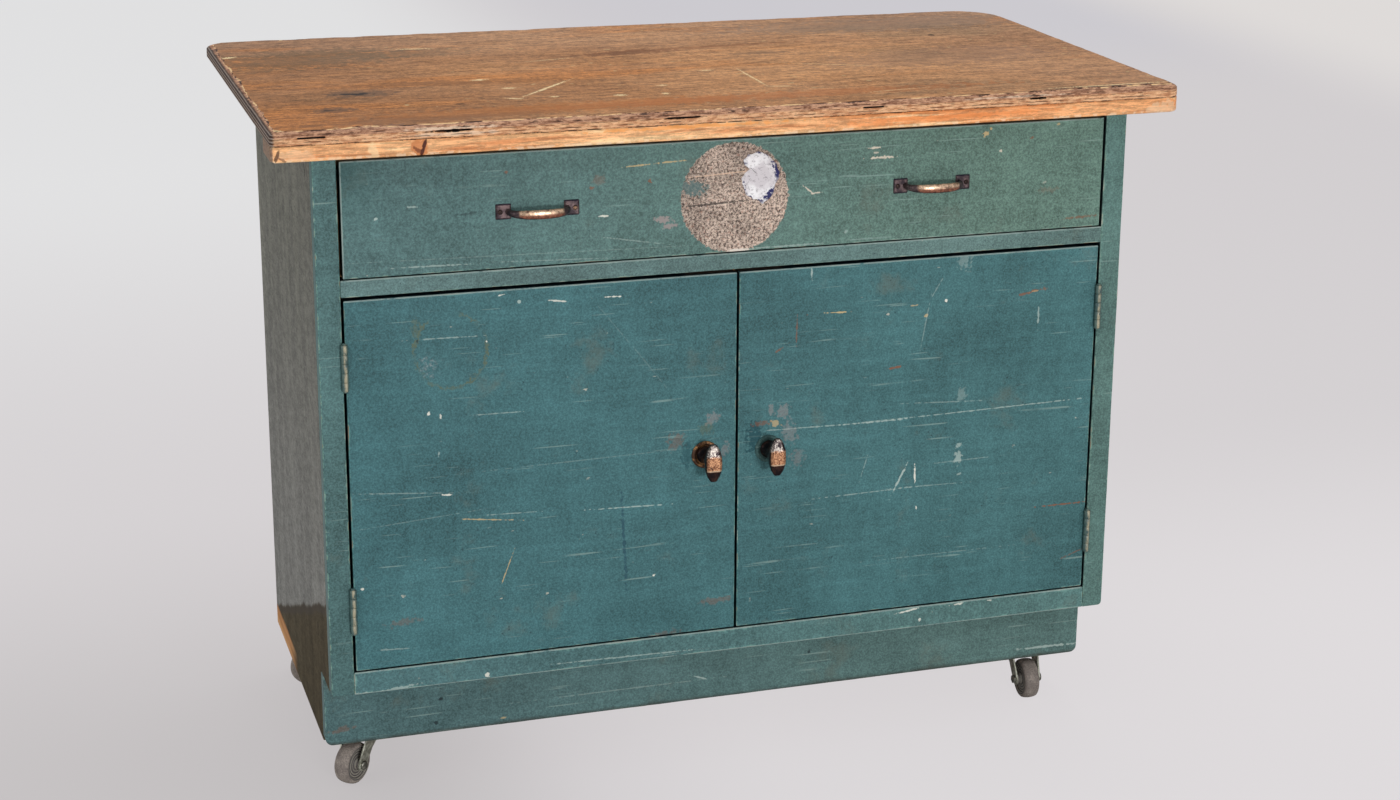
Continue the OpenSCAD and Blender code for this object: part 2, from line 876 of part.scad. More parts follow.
// Hinge screws: three in a row up each leaf, with their heads level with the leaf
leaf_screw_y = hinge_y + leaf_w - hinge_screw_edge;
leaf_screw_zs = [for (k = [-1:1]) k * (hinge_l / 2 - hinge_screw_end)];

module at_leaf_screws(z) {
    for (dz = leaf_screw_zs) translate([-open_w + leaf_t, leaf_screw_y, z + dz]) children();
}

module at_door_screws(z) {
    for (dz = leaf_screw_zs) translate([-door_in - leaf_t, leaf_screw_y, z + dz]) children();
}

// Knuckle k counts up from the hinge's lower end
module knuckle(k) {
    end_gap = slide_gap / 2;
    translate([0, 0, -hinge_l / 2 + k * knuckle_l + end_gap]) {
        cylinder(d = knuckle_d, h = knuckle_l - 2 * end_gap);
    }
}

// What a leaf gives up round the other leaf's knuckles
module knuckle_room(k) {
    translate([-knuckle_d, -knuckle_d, -hinge_l / 2 + k * knuckle_l - slide_gap / 2]) {
        cube([2 * knuckle_d, knuckle_d + knuckle_r + slide_gap, knuckle_l + slide_gap]);
    }
}

// side is -1 for the leaf on the stile and 1 for the leaf on the door
module hinge_leaf(side, own, other, bore_play) {
    near = side * leaf_gap / 2;
    far = side * hinge_gap / 2;
    difference() {
        union() {
            difference() {
                block([min(near, far), 0, -hinge_l / 2], [max(near, far), leaf_w, hinge_l / 2]);
                for (k = other) knuckle_room(k);
            }
            for (k = own) knuckle(k);
        }
        translate([0, 0, -hinge_l]) cylinder(d = hinge_pin_d + 2 * bore_play, h = 2 * hinge_l);
    }
}

module hinge_frame_leaves() {
    color(teal_grey) both_sides() difference() {
        for (z = hinge_zs) {
            translate([-hinge_x, hinge_y, z]) hinge_leaf(-1, [0, 2, 4], [1, 3], screw_fit);
        }
        for (z = hinge_zs) {
            at_leaf_screws(z) rotate([0, -90, 0]) csk_screw(hinge_screw, screw_fit);
        }
    }
}

module hinge_door_leaves() {
    difference() {
        for (z = hinge_zs) {
            translate([-hinge_x, hinge_y, z]) hinge_leaf(1, [1, 3], [0, 2, 4], run_fit);
        }
        for (z = hinge_zs) {
            at_door_screws(z) rotate([0, 90, 0]) csk_screw(hinge_screw, screw_fit);
        }
    }
}

module hinge_leaves_left() {
    color(teal_grey) hinge_door_leaves();
}

module hinge_leaves_right() {
    color(teal_grey) mirror([1, 0, 0]) hinge_door_leaves();
}

module hinge_pins() {
    color(steel) both_sides() for (z = hinge_zs) {
        translate([-hinge_x, hinge_y, z]) cylinder(d = hinge_pin_d, h = hinge_l, center = true);
    }
}

module hinge_frame_screws() {
    color(steel) both_sides() for (z = hinge_zs) {
        at_leaf_screws(z) rotate([0, -90, 0]) csk_screw(hinge_screw);
    }
}

module hinge_door_screws() {
    for (z = hinge_zs) at_door_screws(z) rotate([0, 90, 0]) csk_screw(hinge_screw);
}

module hinge_screws_left() {
    color(steel) hinge_door_screws();
}

module hinge_screws_right() {
    color(steel) mirror([1, 0, 0]) hinge_door_screws();
}

// Knobs: a faceted olive on a turned neck
module at_knob() {
    translate([-knob_x, y_front, knob_z]) rotate([90, 0, 0]) children();
}

module rosette() {
    at_knob() rotate_extrude($fn = 72) {
        polygon([
            [spindle_d / 2 + run_fit, 0], [rosette_d / 2, 0], [rosette_d / 2, rosette_t * 0.4],
            [rosette_d / 2 - 1, rosette_t], [neck_d / 2 + 1.6, rosette_t],
            [neck_d / 2 + 0.6, rosette_t * 0.5], [spindle_d / 2 + run_fit, rosette_t * 0.5]
        ]);
    }
}

module rosette_left() {
    color(copper) rosette();
}

module rosette_right() {
    color(teal) mirror([1, 0, 0]) rosette();
}

// Each ring of the olive: height above its middle, share of the width, share of the thickness
olive_rings = [
    [-1, 0.32, 0.36], [-0.92, 0.47, 0.46], [-0.72, 0.73, 0.65], [-0.36, 0.96, 0.99], [0, 1, 1],
    [0.36, 0.96, 0.99], [0.72, 0.73, 0.65], [0.92, 0.47, 0.46], [1, 0.32, 0.36]
];
olive_outline = [
    [0.62, 1], [0.9, 0.72], [1, 0.3], [1, -0.3], [0.9, -0.72], [0.62, -1],
    [-0.62, -1], [-0.9, -0.72], [-1, -0.3], [-1, 0.3], [-0.9, 0.72], [-0.62, 1]
];

module olive() {
    n = len(olive_outline);
    points = [for (r = olive_rings, p = olive_outline)
        [p[0] * r[1] * olive_w / 2, p[1] * r[2] * olive_t / 2, r[0] * olive_l / 2]];
    rotate([180, 0, 0]) polyhedron(points, loft_faces(n, len(olive_rings)));
}

module knob() {
    neck_start = rosette_t * 0.5 + slide_gap;
    neck_end = olive_out - olive_t * 0.2;
    difference() {
        union() {
            translate([-knob_x, olive_y, knob_z]) olive();
            at_knob() rotate_extrude() {
                polygon([
                    [0, neck_start], [neck_d / 2, neck_start], [neck_d / 2 - 0.6, neck_start + 3],
                    [neck_d / 2 - 2.6, neck_start + 7], [neck_d / 2 - 3.4, neck_start + 12],
                    [neck_d / 2 - 3, neck_end - 9], [neck_d / 2 - 2.2, neck_end - 4],
                    [neck_d / 2 - 3, neck_end], [0, neck_end]
                ]);
            }
        }
        at_knob() cylinder(d = spindle_d + 2 * screw_fit, h = olive_out / 2);
    }
}

module knob_left() {
    color(bronze) knob();
}

module knob_right() {
    color(bronze) mirror([1, 0, 0]) knob();
}

// The spindle carries a flat tongue behind the door, held by a nut
module latch() {
    spindle_front = y_front - olive_out / 2 + 0.5;
    translate([-knob_x, 0, knob_z]) {
        translate([0, spindle_front, 0]) rotate([-90, 0, 0]) {
            cylinder(d = spindle_d, h = spindle_end - spindle_front);
        }
        translate([0, tongue_y, 0]) rotate([-90, 0, 0]) {
            cylinder(d = spindle_d + 6, h = tongue_t);
            linear_extrude(tongue_t) translate([0, -tongue_w / 2]) square([tongue_l, tongue_w]);
            translate([0, 0, tongue_t]) cylinder(d = spindle_d + 5, h = latch_nut_t, $fn = 6);
        }
    }
}

module latch_left() {
    color(steel) latch();
}

module latch_right() {
    color(steel) mirror([1, 0, 0]) latch();
}

worktop_ply();
worktop_core();
side_left();
side_right();
stile_left();
stile_right();
middle_rail();
bottom_rail();
toe_kick();
rear_plinth();
bottom_panel();
back_panel();
shelf();
shelf_cleats();
top_stretchers();
worktop_screws();
drawer_runners();
drawer_guides();
drawer_kickers();
door_stop();
latch_keepers();
caster_boards();
hinge_frame_leaves();
hinge_pins();
hinge_frame_screws();
caster_plates();
caster_kingpins();
caster_screws();
drawer_front();
drawer_sides();
drawer_back();
drawer_bottom();
pull_left();
pull_right();
pull_screws();
door_left();
hinge_leaves_left();
hinge_screws_left();
rosette_left();
door_right();
hinge_leaves_right();
hinge_screws_right();
rosette_right();
knob_left();
latch_left();
knob_right();
latch_right();
fork_front_left();
fork_front_right();
fork_rear_left();
fork_rear_right();
axle_front_left();
axle_front_right();
axle_rear_left();
axle_rear_right();
wheel_front_left();
wheel_front_right();
wheel_rear_left();
wheel_rear_right();
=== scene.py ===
# %% [markdown]
# # Dressing an old painted workshop cabinet
#
# The cabinet is a wooden carcass with one wide drawer over two doors, under a thick worktop,
# on four swivel casters. A measured model of it, the frame, already exists as solids with their
# joints. This lesson gives every part its real surface: worn arrises, plywood edges,
# scratched paint, rubbed bronze and dusty rubber.
#
# The frame could also be modelled here, but solids with joints come out exact from a CAD program,
# and Blender is better at wear. So each piece below either replaces a solid of the frame, or
# gives one a finish.

# %% Load the frame
import math

import bmesh
import bpy
from mathutils import Matrix, Vector, noise


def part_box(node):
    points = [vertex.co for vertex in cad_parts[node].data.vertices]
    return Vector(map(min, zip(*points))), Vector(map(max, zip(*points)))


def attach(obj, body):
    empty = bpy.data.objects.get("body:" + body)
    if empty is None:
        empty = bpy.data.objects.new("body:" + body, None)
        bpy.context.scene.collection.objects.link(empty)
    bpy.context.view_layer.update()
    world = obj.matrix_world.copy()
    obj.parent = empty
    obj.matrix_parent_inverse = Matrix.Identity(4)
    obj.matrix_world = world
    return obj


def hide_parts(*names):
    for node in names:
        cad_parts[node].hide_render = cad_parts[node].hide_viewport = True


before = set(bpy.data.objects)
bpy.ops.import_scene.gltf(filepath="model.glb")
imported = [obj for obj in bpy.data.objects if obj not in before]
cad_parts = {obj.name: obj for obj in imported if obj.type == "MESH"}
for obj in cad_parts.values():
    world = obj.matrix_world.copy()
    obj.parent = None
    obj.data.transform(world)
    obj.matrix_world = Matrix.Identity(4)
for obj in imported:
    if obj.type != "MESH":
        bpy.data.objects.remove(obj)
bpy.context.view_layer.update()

MM = 0.001

# %% [markdown]
# ## The camera
#
# The camera comes first, because it decides how much detail each piece needs. The photograph
# looks slightly down on the cabinet from its front left. Its place was found by fitting the corners of
# the carcass to their pixels, so it is written here as measured numbers. A small shift of the
# lens does what cropping did in the photograph.

# %% Camera
def into_scene(name, data):
    """A new object that holds this data, linked to the scene."""
    made = bpy.data.objects.new(name, data)
    bpy.context.scene.collection.objects.link(made)
    return made


LENS_PX = 2545.06
PICTURE_PX = (1400, 800)
MIDDLE_PX = (745, 340)
CAMERA_AT = (-0.90287, -3.01346, 1.40965)
CAMERA_RIGHT = Vector((0.95031, -0.31115, 0.01006))
CAMERA_FORWARD = Vector((0.30115, 0.91063, -0.28295))

camera_data = bpy.data.cameras.new("camera")
camera_data.sensor_width = 36.0
camera_data.lens = LENS_PX / PICTURE_PX[0] * camera_data.sensor_width
camera_data.shift_x = (PICTURE_PX[0] / 2 - MIDDLE_PX[0]) / PICTURE_PX[0]
camera_data.shift_y = (MIDDLE_PX[1] - PICTURE_PX[1] / 2) / PICTURE_PX[0]
camera = into_scene("camera", camera_data)
camera_up = CAMERA_RIGHT.cross(CAMERA_FORWARD)
turn = Matrix((CAMERA_RIGHT, camera_up, -CAMERA_FORWARD)).transposed().to_4x4()
camera.matrix_world = Matrix.Translation(CAMERA_AT) @ turn
bpy.context.scene.camera = camera
print("camera lens:", round(camera_data.lens, 2), "mm")

# %% [markdown]
# ## A short way to write finishes
#
# Every finish below is a node tree. They could be joined up by hand in the shader editor, but
# the same few steps come back all the time: a noise, a soft threshold, a mix of two colours. The
# class below has one short method for each, so that a finish reads like a recipe. All patterns
# read Object coordinates, because each piece keeps its place in its mesh. That makes a pattern
# stay put when a door opens.

# %% The recipe class
class Finish:
    """A material that is being mixed. Numbers and node outputs can both be fed to any step."""

    def __init__(self, name, metallic=0.0, specular=0.5):
        self.material = bpy.data.materials.new(name)
        self.material.use_nodes = True
        self.tree = self.material.node_tree
        self.shader = self.tree.nodes["Principled BSDF"]
        self.shader.inputs["Metallic"].default_value = metallic
        self.shader.inputs["Specular IOR Level"].default_value = specular
        self.place = self.node("ShaderNodeTexCoord").outputs["Object"]
        parts = self.node("ShaderNodeSeparateXYZ")
        self.feed(parts.inputs[0], self.place)
        self.x, self.y, self.z = parts.outputs

    def node(self, kind, **settings):
        """Adds a node and sets its properties."""
        made = self.tree.nodes.new(kind)
        for key, value in settings.items():
            setattr(made, key, value)
        return made

    def feed(self, socket, value):
        """Joins a node's output to a socket, or sets the socket to a number or a colour."""
        if isinstance(value, bpy.types.NodeSocket):
            self.tree.links.new(value, socket)
        else:
            socket.default_value = value

    def math(self, operation, a, b=0.0, clamp=False):
        made = self.node("ShaderNodeMath", operation=operation, use_clamp=clamp)
        self.feed(made.inputs[0], a)
        self.feed(made.inputs[1], b)
        return made.outputs[0]

    def times(self, a, b):
        return self.math("MULTIPLY", a, b)

    def plus(self, a, b):
        return self.math("ADD", a, b)

    def minus(self, a, b):
        return self.math("SUBTRACT", a, b)

    def fade(self, value, start, end, low=0.0, high=1.0):
        """Low where value is before start, high where it is past end, and smooth between."""
        made = self.node("ShaderNodeMapRange", interpolation_type="SMOOTHSTEP")
        for socket, amount in zip(made.inputs, (value, start, end, low, high)):
            self.feed(socket, amount)
        return made.outputs[0]

    def noise(self, scale, detail=3.0, rough=0.5, stretch=(1, 1, 1), turned=(0, 0, 0), seed=0.0, swirl=0.0):
        """A noise pattern, moved by its seed, so that no two patterns agree."""
        move = self.node("ShaderNodeMapping")
        self.feed(move.inputs["Vector"], self.place)
        move.inputs["Location"].default_value = (seed * 1.37, seed * 0.71, seed * 2.13)
        move.inputs["Rotation"].default_value = turned
        move.inputs["Scale"].default_value = stretch
        made = self.node("ShaderNodeTexNoise")
        self.feed(made.inputs["Vector"], move.outputs[0])
        for key, amount in (("Scale", scale), ("Detail", detail), ("Roughness", rough), ("Distortion", swirl)):
            made.inputs[key].default_value = amount
        return made.outputs[0]

    def mix(self, share, a, b):
        """Colour a where share is 0 and colour b where it is 1."""
        made = self.node("ShaderNodeMix", data_type="RGBA")
        for socket, value in ((0, share), (6, a), (7, b)):
            self.feed(made.inputs[socket], value)
        return made.outputs[2]

    def lay(self, colour, share, strength, ink):
        """Lays a second colour over the first where share is 1, at a strength below 1."""
        return self.mix(self.times(share, strength), colour, ink)

    def blend(self, share, a, b):
        """Number a where share is 0 and number b where it is 1."""
        made = self.node("ShaderNodeMix", data_type="FLOAT")
        for socket, value in ((0, share), (2, a), (3, b)):
            self.feed(made.inputs[socket], value)
        return made.outputs[0]

    def blot(self, a, b, at, half, angle=0.0, rag=None, ragged=0.5, soft=0.15):
        """A ragged ellipse on two coordinates, in millimetres and degrees: 1 inside and 0 outside."""
        at, half = [v * MM for v in at], [v * MM for v in half]
        c, s = math.cos(math.radians(angle)), math.sin(math.radians(angle))
        da, db = self.minus(a, at[0]), self.minus(b, at[1])
        u = self.plus(self.times(da, c / half[0]), self.times(db, s / half[0]))
        v = self.minus(self.times(db, c / half[1]), self.times(da, s / half[1]))
        far = self.math("SQRT", self.plus(self.times(u, u), self.times(v, v)))
        if rag is not None:
            shift = self.times(self.minus(rag, 0.5), ragged * 4)
            far = self.plus(far, shift)
        return self.fade(far, 1 + soft, 1 - soft)

    def edge_distance(self, low, high):
        """Distance along the surface of a box to its nearest arris."""
        gaps = []
        for along, start, end in zip((self.x, self.y, self.z), low, high):
            before, after = self.minus(along, start), self.minus(end, along)
            gaps.append(self.math("MINIMUM", before, after))
        small = self.math("MINIMUM", gaps[0], gaps[1])
        large = self.math("MAXIMUM", gaps[0], gaps[1])
        return self.math("MAXIMUM", small, self.math("MINIMUM", large, gaps[2]))

    def bump(self, height, distance, strength=1.0):
        """Makes a pattern catch the light as if it stood out by a distance in metres."""
        made = self.node("ShaderNodeBump")
        made.inputs["Strength"].default_value = strength
        made.inputs["Distance"].default_value = distance
        self.feed(made.inputs["Height"], height)
        self.feed(self.shader.inputs["Normal"], made.outputs[0])

    def lit(self, colour, light, *layers):
        """A colour made brighter or darker by layers of (pattern, start, end, depth)."""
        for pattern, start, end, depth in layers:
            light = self.plus(light, self.fade(pattern, start, end, -depth, depth))
        made = self.node("ShaderNodeVectorMath", operation="SCALE")
        self.feed(made.inputs[0], colour)
        self.feed(made.inputs["Scale"], light)
        return made.outputs[0]

    def done(self, colour, roughness):
        """Feeds the last two sockets and gives the material."""
        self.feed(self.shader.inputs["Base Color"], colour)
        self.feed(self.shader.inputs["Roughness"], roughness)
        return self.material


print("recipe class ready")

# %% [markdown]
# ## Light and floor
#
# The photograph is lit flatly, from the front at about the height of the cabinet: the worktop throws
# almost no shadow on the drawer, while the shadows of the knobs lie straight behind them. A single
# lamp would leave the sides black. So a plain world gives an even light all round, a large lamp in front
# gives the direction, one above lights the worktop, and a weak one keeps the side panel
# readable. For the camera alone, most of the floor's colour is a glow. So the floor stays as pale as
# the photograph's background, keeps a faint shadow and adds no light to the cabinet.

# %% Floor, world and lamps
def to_linear(value):
    """One screen value from 0 to 255 as linear light."""
    v = value / 255
    return v / 12.92 if v <= 0.04045 else ((v + 0.055) / 1.055) ** 2.4


def tone(red, green, blue):
    """A screen colour as the linear colour that shaders take."""
    return (to_linear(red), to_linear(green), to_linear(blue), 1.0)


def area_lamp(name, at, aim, size, watts):
    data = bpy.data.lights.new(name, "AREA")
    data.shape = "RECTANGLE"
    data.size, data.size_y = size
    data.energy = watts
    lamp = into_scene(name, data)
    lamp.location = at
    lamp.rotation_euler = (Vector(aim) - Vector(at)).to_track_quat("-Z", "Y").to_euler()


def floor_finish():
    """Pale matt floor. Camera rays see it mostly as a plain glow, so its shadows stay faint."""
    f = Finish("floor", specular=0.1)
    f.done(tone(214, 212, 212), 0.9)
    far = f.times(f.fade(f.y, 0.6, 3.4), f.fade(f.x, 1.4, 0.4))
    glow = f.mix(far, tone(217, 213, 215), tone(234, 234, 235))
    middle = f.times(f.fade(f.y, 3.4, 5.0), f.times(f.fade(f.x, 0.7, 1.7), f.fade(f.x, 3.5, 2.9)))
    glow = f.mix(middle, glow, tone(211, 209, 215))
    glow = f.mix(f.fade(f.x, 2.9, 3.7), glow, tone(232, 228, 226))
    near = f.fade(f.y, 0.9, -0.1)
    glow = f.mix(f.times(near, f.fade(f.x, -0.35, 0.1)), glow, tone(229, 225, 227))
    glow = f.mix(f.times(near, f.fade(f.x, -0.15, -0.45)), glow, tone(200, 196, 197))
    light, ray = f.node("ShaderNodeEmission"), f.node("ShaderNodeLightPath")
    blend = f.node("ShaderNodeMixShader")
    f.feed(light.inputs["Color"], glow)
    f.feed(blend.inputs[0], f.times(ray.outputs["Is Camera Ray"], FLOOR_GLOW))
    f.feed(blend.inputs[1], f.shader.outputs[0])
    f.feed(blend.inputs[2], light.outputs[0])
    f.feed(f.tree.nodes["Material Output"].inputs["Surface"], blend.outputs[0])
    return f.material


FLOOR_HALF = 30.0
FLOOR_GLOW = 0.84
floor_mesh = bpy.data.meshes.new("floor")
floor_mesh.from_pydata([(-FLOOR_HALF, -FLOOR_HALF, 0), (FLOOR_HALF, -FLOOR_HALF, 0),
                        (FLOOR_HALF, FLOOR_HALF, 0), (-FLOOR_HALF, FLOOR_HALF, 0)], [], [(0, 1, 2, 3)])
floor = into_scene("floor", floor_mesh)
floor.data.materials.append(floor_finish())

WORLD_LIGHT = 0.5
world = bpy.data.worlds.new("studio")
bpy.context.scene.world = world
world.use_nodes = True
world.node_tree.nodes["Background"].inputs["Color"].default_value = (1.0, 1.0, 1.0, 1.0)
world.node_tree.nodes["Background"].inputs["Strength"].default_value = WORLD_LIGHT
area_lamp("front", (0.5, -4.6, 0.9), (0, 0, 0.45), (0.8, 0.6), 77)
area_lamp("above", (0.2, 0.9, 3.4), (0, 0.1, 0.8), (2.4, 1.8), 35)
area_lamp("side", (-3.4, -0.8, 1.4), (-0.3, 0, 0.4), (1.6, 1.6), 20)
bpy.context.scene.view_settings.view_transform = "Standard"
print("floor glow for the camera:", FLOOR_GLOW, "and light from the world:", WORLD_LIGHT)

# %% [markdown]
# ## Ways to make and place a piece
#
# A finished piece sits at the origin with its place in its mesh, as the solids of the frame do. It
# rides on one body, takes its finish, and says which solids it stands for. One helper does all of
# this, so that no piece can miss a step.

# %% Making and placing helpers
def as_object(name, bm, outward=False):
    """A mesh object from mesh data that is in the frame's own coordinates."""
    if outward:
        bmesh.ops.recalc_face_normals(bm, faces=bm.faces)
    mesh = bpy.data.meshes.new(name)
    bm.to_mesh(mesh)
    bm.free()
    return into_scene(name, mesh)


def place(piece, body, slot, finish, *nodes):
    """The piece gets its finish, rides on a body and stands for these solids."""
    piece.data.materials.clear()
    piece.data.materials.append(finish)
    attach(piece, body)
    if nodes:
        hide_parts(*nodes)
    print(piece.name, "-", len(piece.data.polygons), "faces on", body)
    return piece


def plain_mesh(piece):
    """The piece with its modifiers worked in, as a plain mesh."""
    seen = bpy.context.evaluated_depsgraph_get()
    mesh = bpy.data.meshes.new_from_object(piece.evaluated_get(seen))
    piece.modifiers.clear()
    piece.data = mesh
    return piece


print("placing helpers ready")

# %% [markdown]
# ## Boards with worn arrises
#
# Years of knocks round the arrises of a board and leave small dents in them, while its faces stay
# flat. A bevel modifier would make every arris the same. Here each sharp edge is first cut into short
# lengths and bevelled. Then the points in the middle of the bevel move inwards by an amount
# that a noise decides, so that every arris wears in its own way.

# %% Board helpers
SHARP = math.radians(25)


def bevel_edges(bm, edges, width, segments=2, profile=0.5, clamp=True):
    bmesh.ops.bevel(bm, geom=edges, offset=width, offset_type="OFFSET", segments=segments, profile=profile,
                    affect="EDGES", clamp_overlap=clamp)


def wear_arrises(bm, arris, wear, seed, step=8 * MM):
    """Bevels every sharp edge and dents the bevel at random, inwards only."""
    sharp = [e for e in bm.edges if len(e.link_faces) == 2 and e.calc_face_angle(0) > SHARP]
    for edge in list(sharp):
        start = edge.verts[0]
        for parts in range(max(1, int(edge.calc_length() / step)), 1, -1):
            piece, start = bmesh.utils.edge_split(edge, start, 1 / parts)
            sharp.append(piece)
    bevel_edges(bm, sharp, arris, segments=3, profile=0.55)
    bm.normal_update()
    worn = [v for v in bm.verts if all(len(f.verts) <= 4 for f in v.link_faces)]
    for vert in worn:
        spot = vert.co + Vector((seed, 2.7 * seed, -seed))
        rub = 0.5 + noise.noise(spot * 22)
        knock = max(0.0, noise.noise(spot * 95) - 0.32) * 4
        vert.co -= vert.normal * wear * max(0.0, 0.6 * rub + knock)
    for face in bm.faces:
        face.smooth = len(face.verts) <= 4


def prism(outline, axis, low, high):
    """A closed solid from an outline that lies across one axis, as mesh data."""
    order = {"x": lambda a, b, c: (c, a, b), "y": lambda a, b, c: (a, c, b),
             "z": lambda a, b, c: (a, b, c)}[axis]
    bm = bmesh.new()
    near = [bm.verts.new(order(a, b, low)) for a, b in outline]
    far = [bm.verts.new(order(a, b, high)) for a, b in outline]
    bm.faces.new(near)
    bm.faces.new(far[::-1])
    for i, j in zip(range(len(outline)), [*range(1, len(outline)), 0]):
        bm.faces.new((near[i], far[i], far[j], near[j]))
    bmesh.ops.recalc_face_normals(bm, faces=bm.faces)
    return bm


def arc(centre, radius, start, end, steps=6):
    """Points on an arc, angles in degrees."""
    turns = [math.radians(start + (end - start) * k / steps) for k in range(steps + 1)]
    return [(centre[0] + radius * math.cos(t), centre[1] + radius * math.sin(t)) for t in turns]


def rounded(half_a, half_b, radius, steps):
    """The outline of a rectangle round the origin, with rounded corners."""
    points = []
    for k, (a, b) in enumerate(((1, 1), (-1, 1), (-1, -1), (1, -1))):
        points += arc((a * (half_a - radius), b * (half_b - radius)), radius, 90 * k, 90 * k + 90, steps)
    return points


def board(name, outline, axis, low, high, arris, wear, seed):
    """A worn board from its outline across one axis."""
    bm = prism(outline, axis, low, high)
    wear_arrises(bm, arris, wear, seed)
    return as_object(name, bm)


def box_board(name, node, arris, wear, seed):
    """A rectangular board as large as a solid of the frame."""
    low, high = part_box(node)
    outline = [(low[0], low[2]), (high[0], low[2]), (high[0], high[2]), (low[0], high[2])]
    return board(name, outline, "y", low[1], high[1], arris, wear, seed)


def copied_board(name, node, arris, wear, seed):
    """A board with the notches and rebates of a solid: its mesh is copied, merged and cleaned."""
    bm = bmesh.new()
    bm.from_mesh(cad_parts[node].data)
    bmesh.ops.remove_doubles(bm, verts=bm.verts, dist=1e-6)
    bmesh.ops.dissolve_limit(bm, angle_limit=math.radians(1), verts=bm.verts, edges=bm.edges)
    wear_arrises(bm, arris, wear, seed)
    return as_object(name, bm)


print("board helpers ready")

# %% [markdown]
# ## The paint
#
# The cabinet was painted by brush in a satin teal. The paint has clouds and faint vertical brush
# marks, a fine speckle, many thin scratches that run almost level, and pale or bare wood along its
# arrises. One function mixes it for every painted board, because all of them have the same
# coats. What differs is the board's own box, which says where its arrises are, and the marks
# that only it has.

# %% The coat of paint
TEAL = (70, 112, 117)
TEAL_DRAWER = (88, 120, 120)
PRIMER = tone(192, 190, 176)
BARE_WOOD = tone(146, 106, 76)
SCRATCH = tone(152, 176, 170)
DIRT = tone(58, 52, 44)
# Painted shade, with some grime: the navy-black of board sides that look into narrow gaps
GAP_SHADE_AND_GRIME = tone(13, 17, 34)


def shade(colour, share, warm=0.0):
    """A screen colour made lighter or darker, and a little warmer or cooler."""
    return tone(*(min(255.0, max(0.0, c * share + warm * w)) for c, w in zip(colour, (1, 0.3, -1))))


def coat_of_paint(f, base, seed, east):
    """The brushed coat, and those of its patterns that later steps need."""
    colour = f.mix(f.fade(f.x, -0.5, 0.5, 0, 0.45 * east), tone(*base), shade(base, 1.12, 9))
    cloud = f.noise(3.2, detail=5, rough=0.55, seed=seed)
    haze = f.noise(9, detail=5, rough=0.6, seed=seed + 11)
    brush = f.noise(60, detail=3, stretch=(1, 1, 0.3), seed=seed + 1)
    drag = f.noise(90, detail=3, rough=0.6, stretch=(0.1, 1, 1), seed=seed + 12)
    mottle = f.noise(190, detail=3, rough=0.7, seed=seed + 14)
    speck = f.noise(430, detail=3, rough=0.75, seed=seed + 2)
    colour = f.lit(colour, 0.98, (cloud, 0.3, 0.7, 0.12), (haze, 0.3, 0.7, 0.08), (brush, 0.35, 0.7, 0.05),
                   (drag, 0.42, 0.74, 0.07), (mottle, 0.38, 0.64, 0.08), (speck, 0.38, 0.64, 0.22))
    bruise = f.noise(13, detail=6, rough=0.65, seed=seed + 4)
    colour = f.mix(f.fade(bruise, 0.58, 0.72, 0, 0.4), colour, tone(104, 112, 102))
    pepper = f.noise(260, detail=2, rough=0.6, seed=seed + 13)
    pepper = f.times(f.fade(pepper, 0.64, 0.71), f.fade(bruise, 0.46, 0.6))
    colour = f.lay(colour, pepper, 0.55, tone(34, 48, 58))
    return colour, cloud, speck, bruise


print("teal on the doors:", TEAL, "and on the drawer:", TEAL_DRAWER)

# %% Scratches and chips
def scratch_layer(f, seed, tilt, scale, keep):
    """Thin scratches that run nearly level, only here and there."""
    lines = f.noise(scale, detail=1.0, rough=0.4, stretch=(1, 1, 34), turned=(0, math.radians(tilt), 0),
                    seed=seed, swirl=0.15)
    patch = f.noise(9, detail=3.0, rough=0.6, seed=seed + 3)
    return f.times(f.fade(lines, keep, keep + 0.03), f.fade(patch, 0.5, 0.62))


def scratched(f, colour, seed, bruise):
    """Scratches that run nearly level, and small chips down to the primer."""
    lines = f.math("MAXIMUM", scratch_layer(f, seed + 5, 2.0, 9, 0.7),
                   scratch_layer(f, seed + 6, -4.0, 12, 0.71))
    lines = f.math("MAXIMUM", lines, scratch_layer(f, seed + 7, 9.0, 7, 0.72))
    colour = f.lay(colour, lines, 0.45, SCRATCH)
    chips = f.noise(150, detail=2, rough=0.5, stretch=(0.5, 1, 1), seed=seed + 8)
    chips = f.times(f.fade(chips, 0.745, 0.775), f.fade(bruise, 0.46, 0.6))
    colour = f.lay(colour, chips, 0.8, PRIMER)
    return colour, lines, chips


print("scratches and chips ready")

# %% Rubbed arrises, pale rims and shaded gaps
def rubbed_arrises(f, colour, box, base, seed, worn):
    """Thin paint, then primer and bare wood, near the board's arrises."""
    near = f.edge_distance(*box)
    ragged = f.noise(60, detail=4, rough=0.7, seed=seed + 9)
    reach = f.fade(ragged, 0.38, 0.75, 0.15, 1.9)
    rubbed = f.fade(f.math("DIVIDE", near, reach), worn * 1.25, worn * 0.75)
    bare = f.fade(f.math("DIVIDE", near, reach), worn * 0.5, worn * 0.3)
    woody = f.fade(f.noise(16, detail=3, seed=seed + 10), 0.44, 0.58)
    colour = f.lay(colour, rubbed, 0.6, shade(base, 1.38, 10))
    colour = f.lay(colour, bare, 0.8, f.mix(woody, PRIMER, BARE_WOOD))
    return colour, bare, ragged


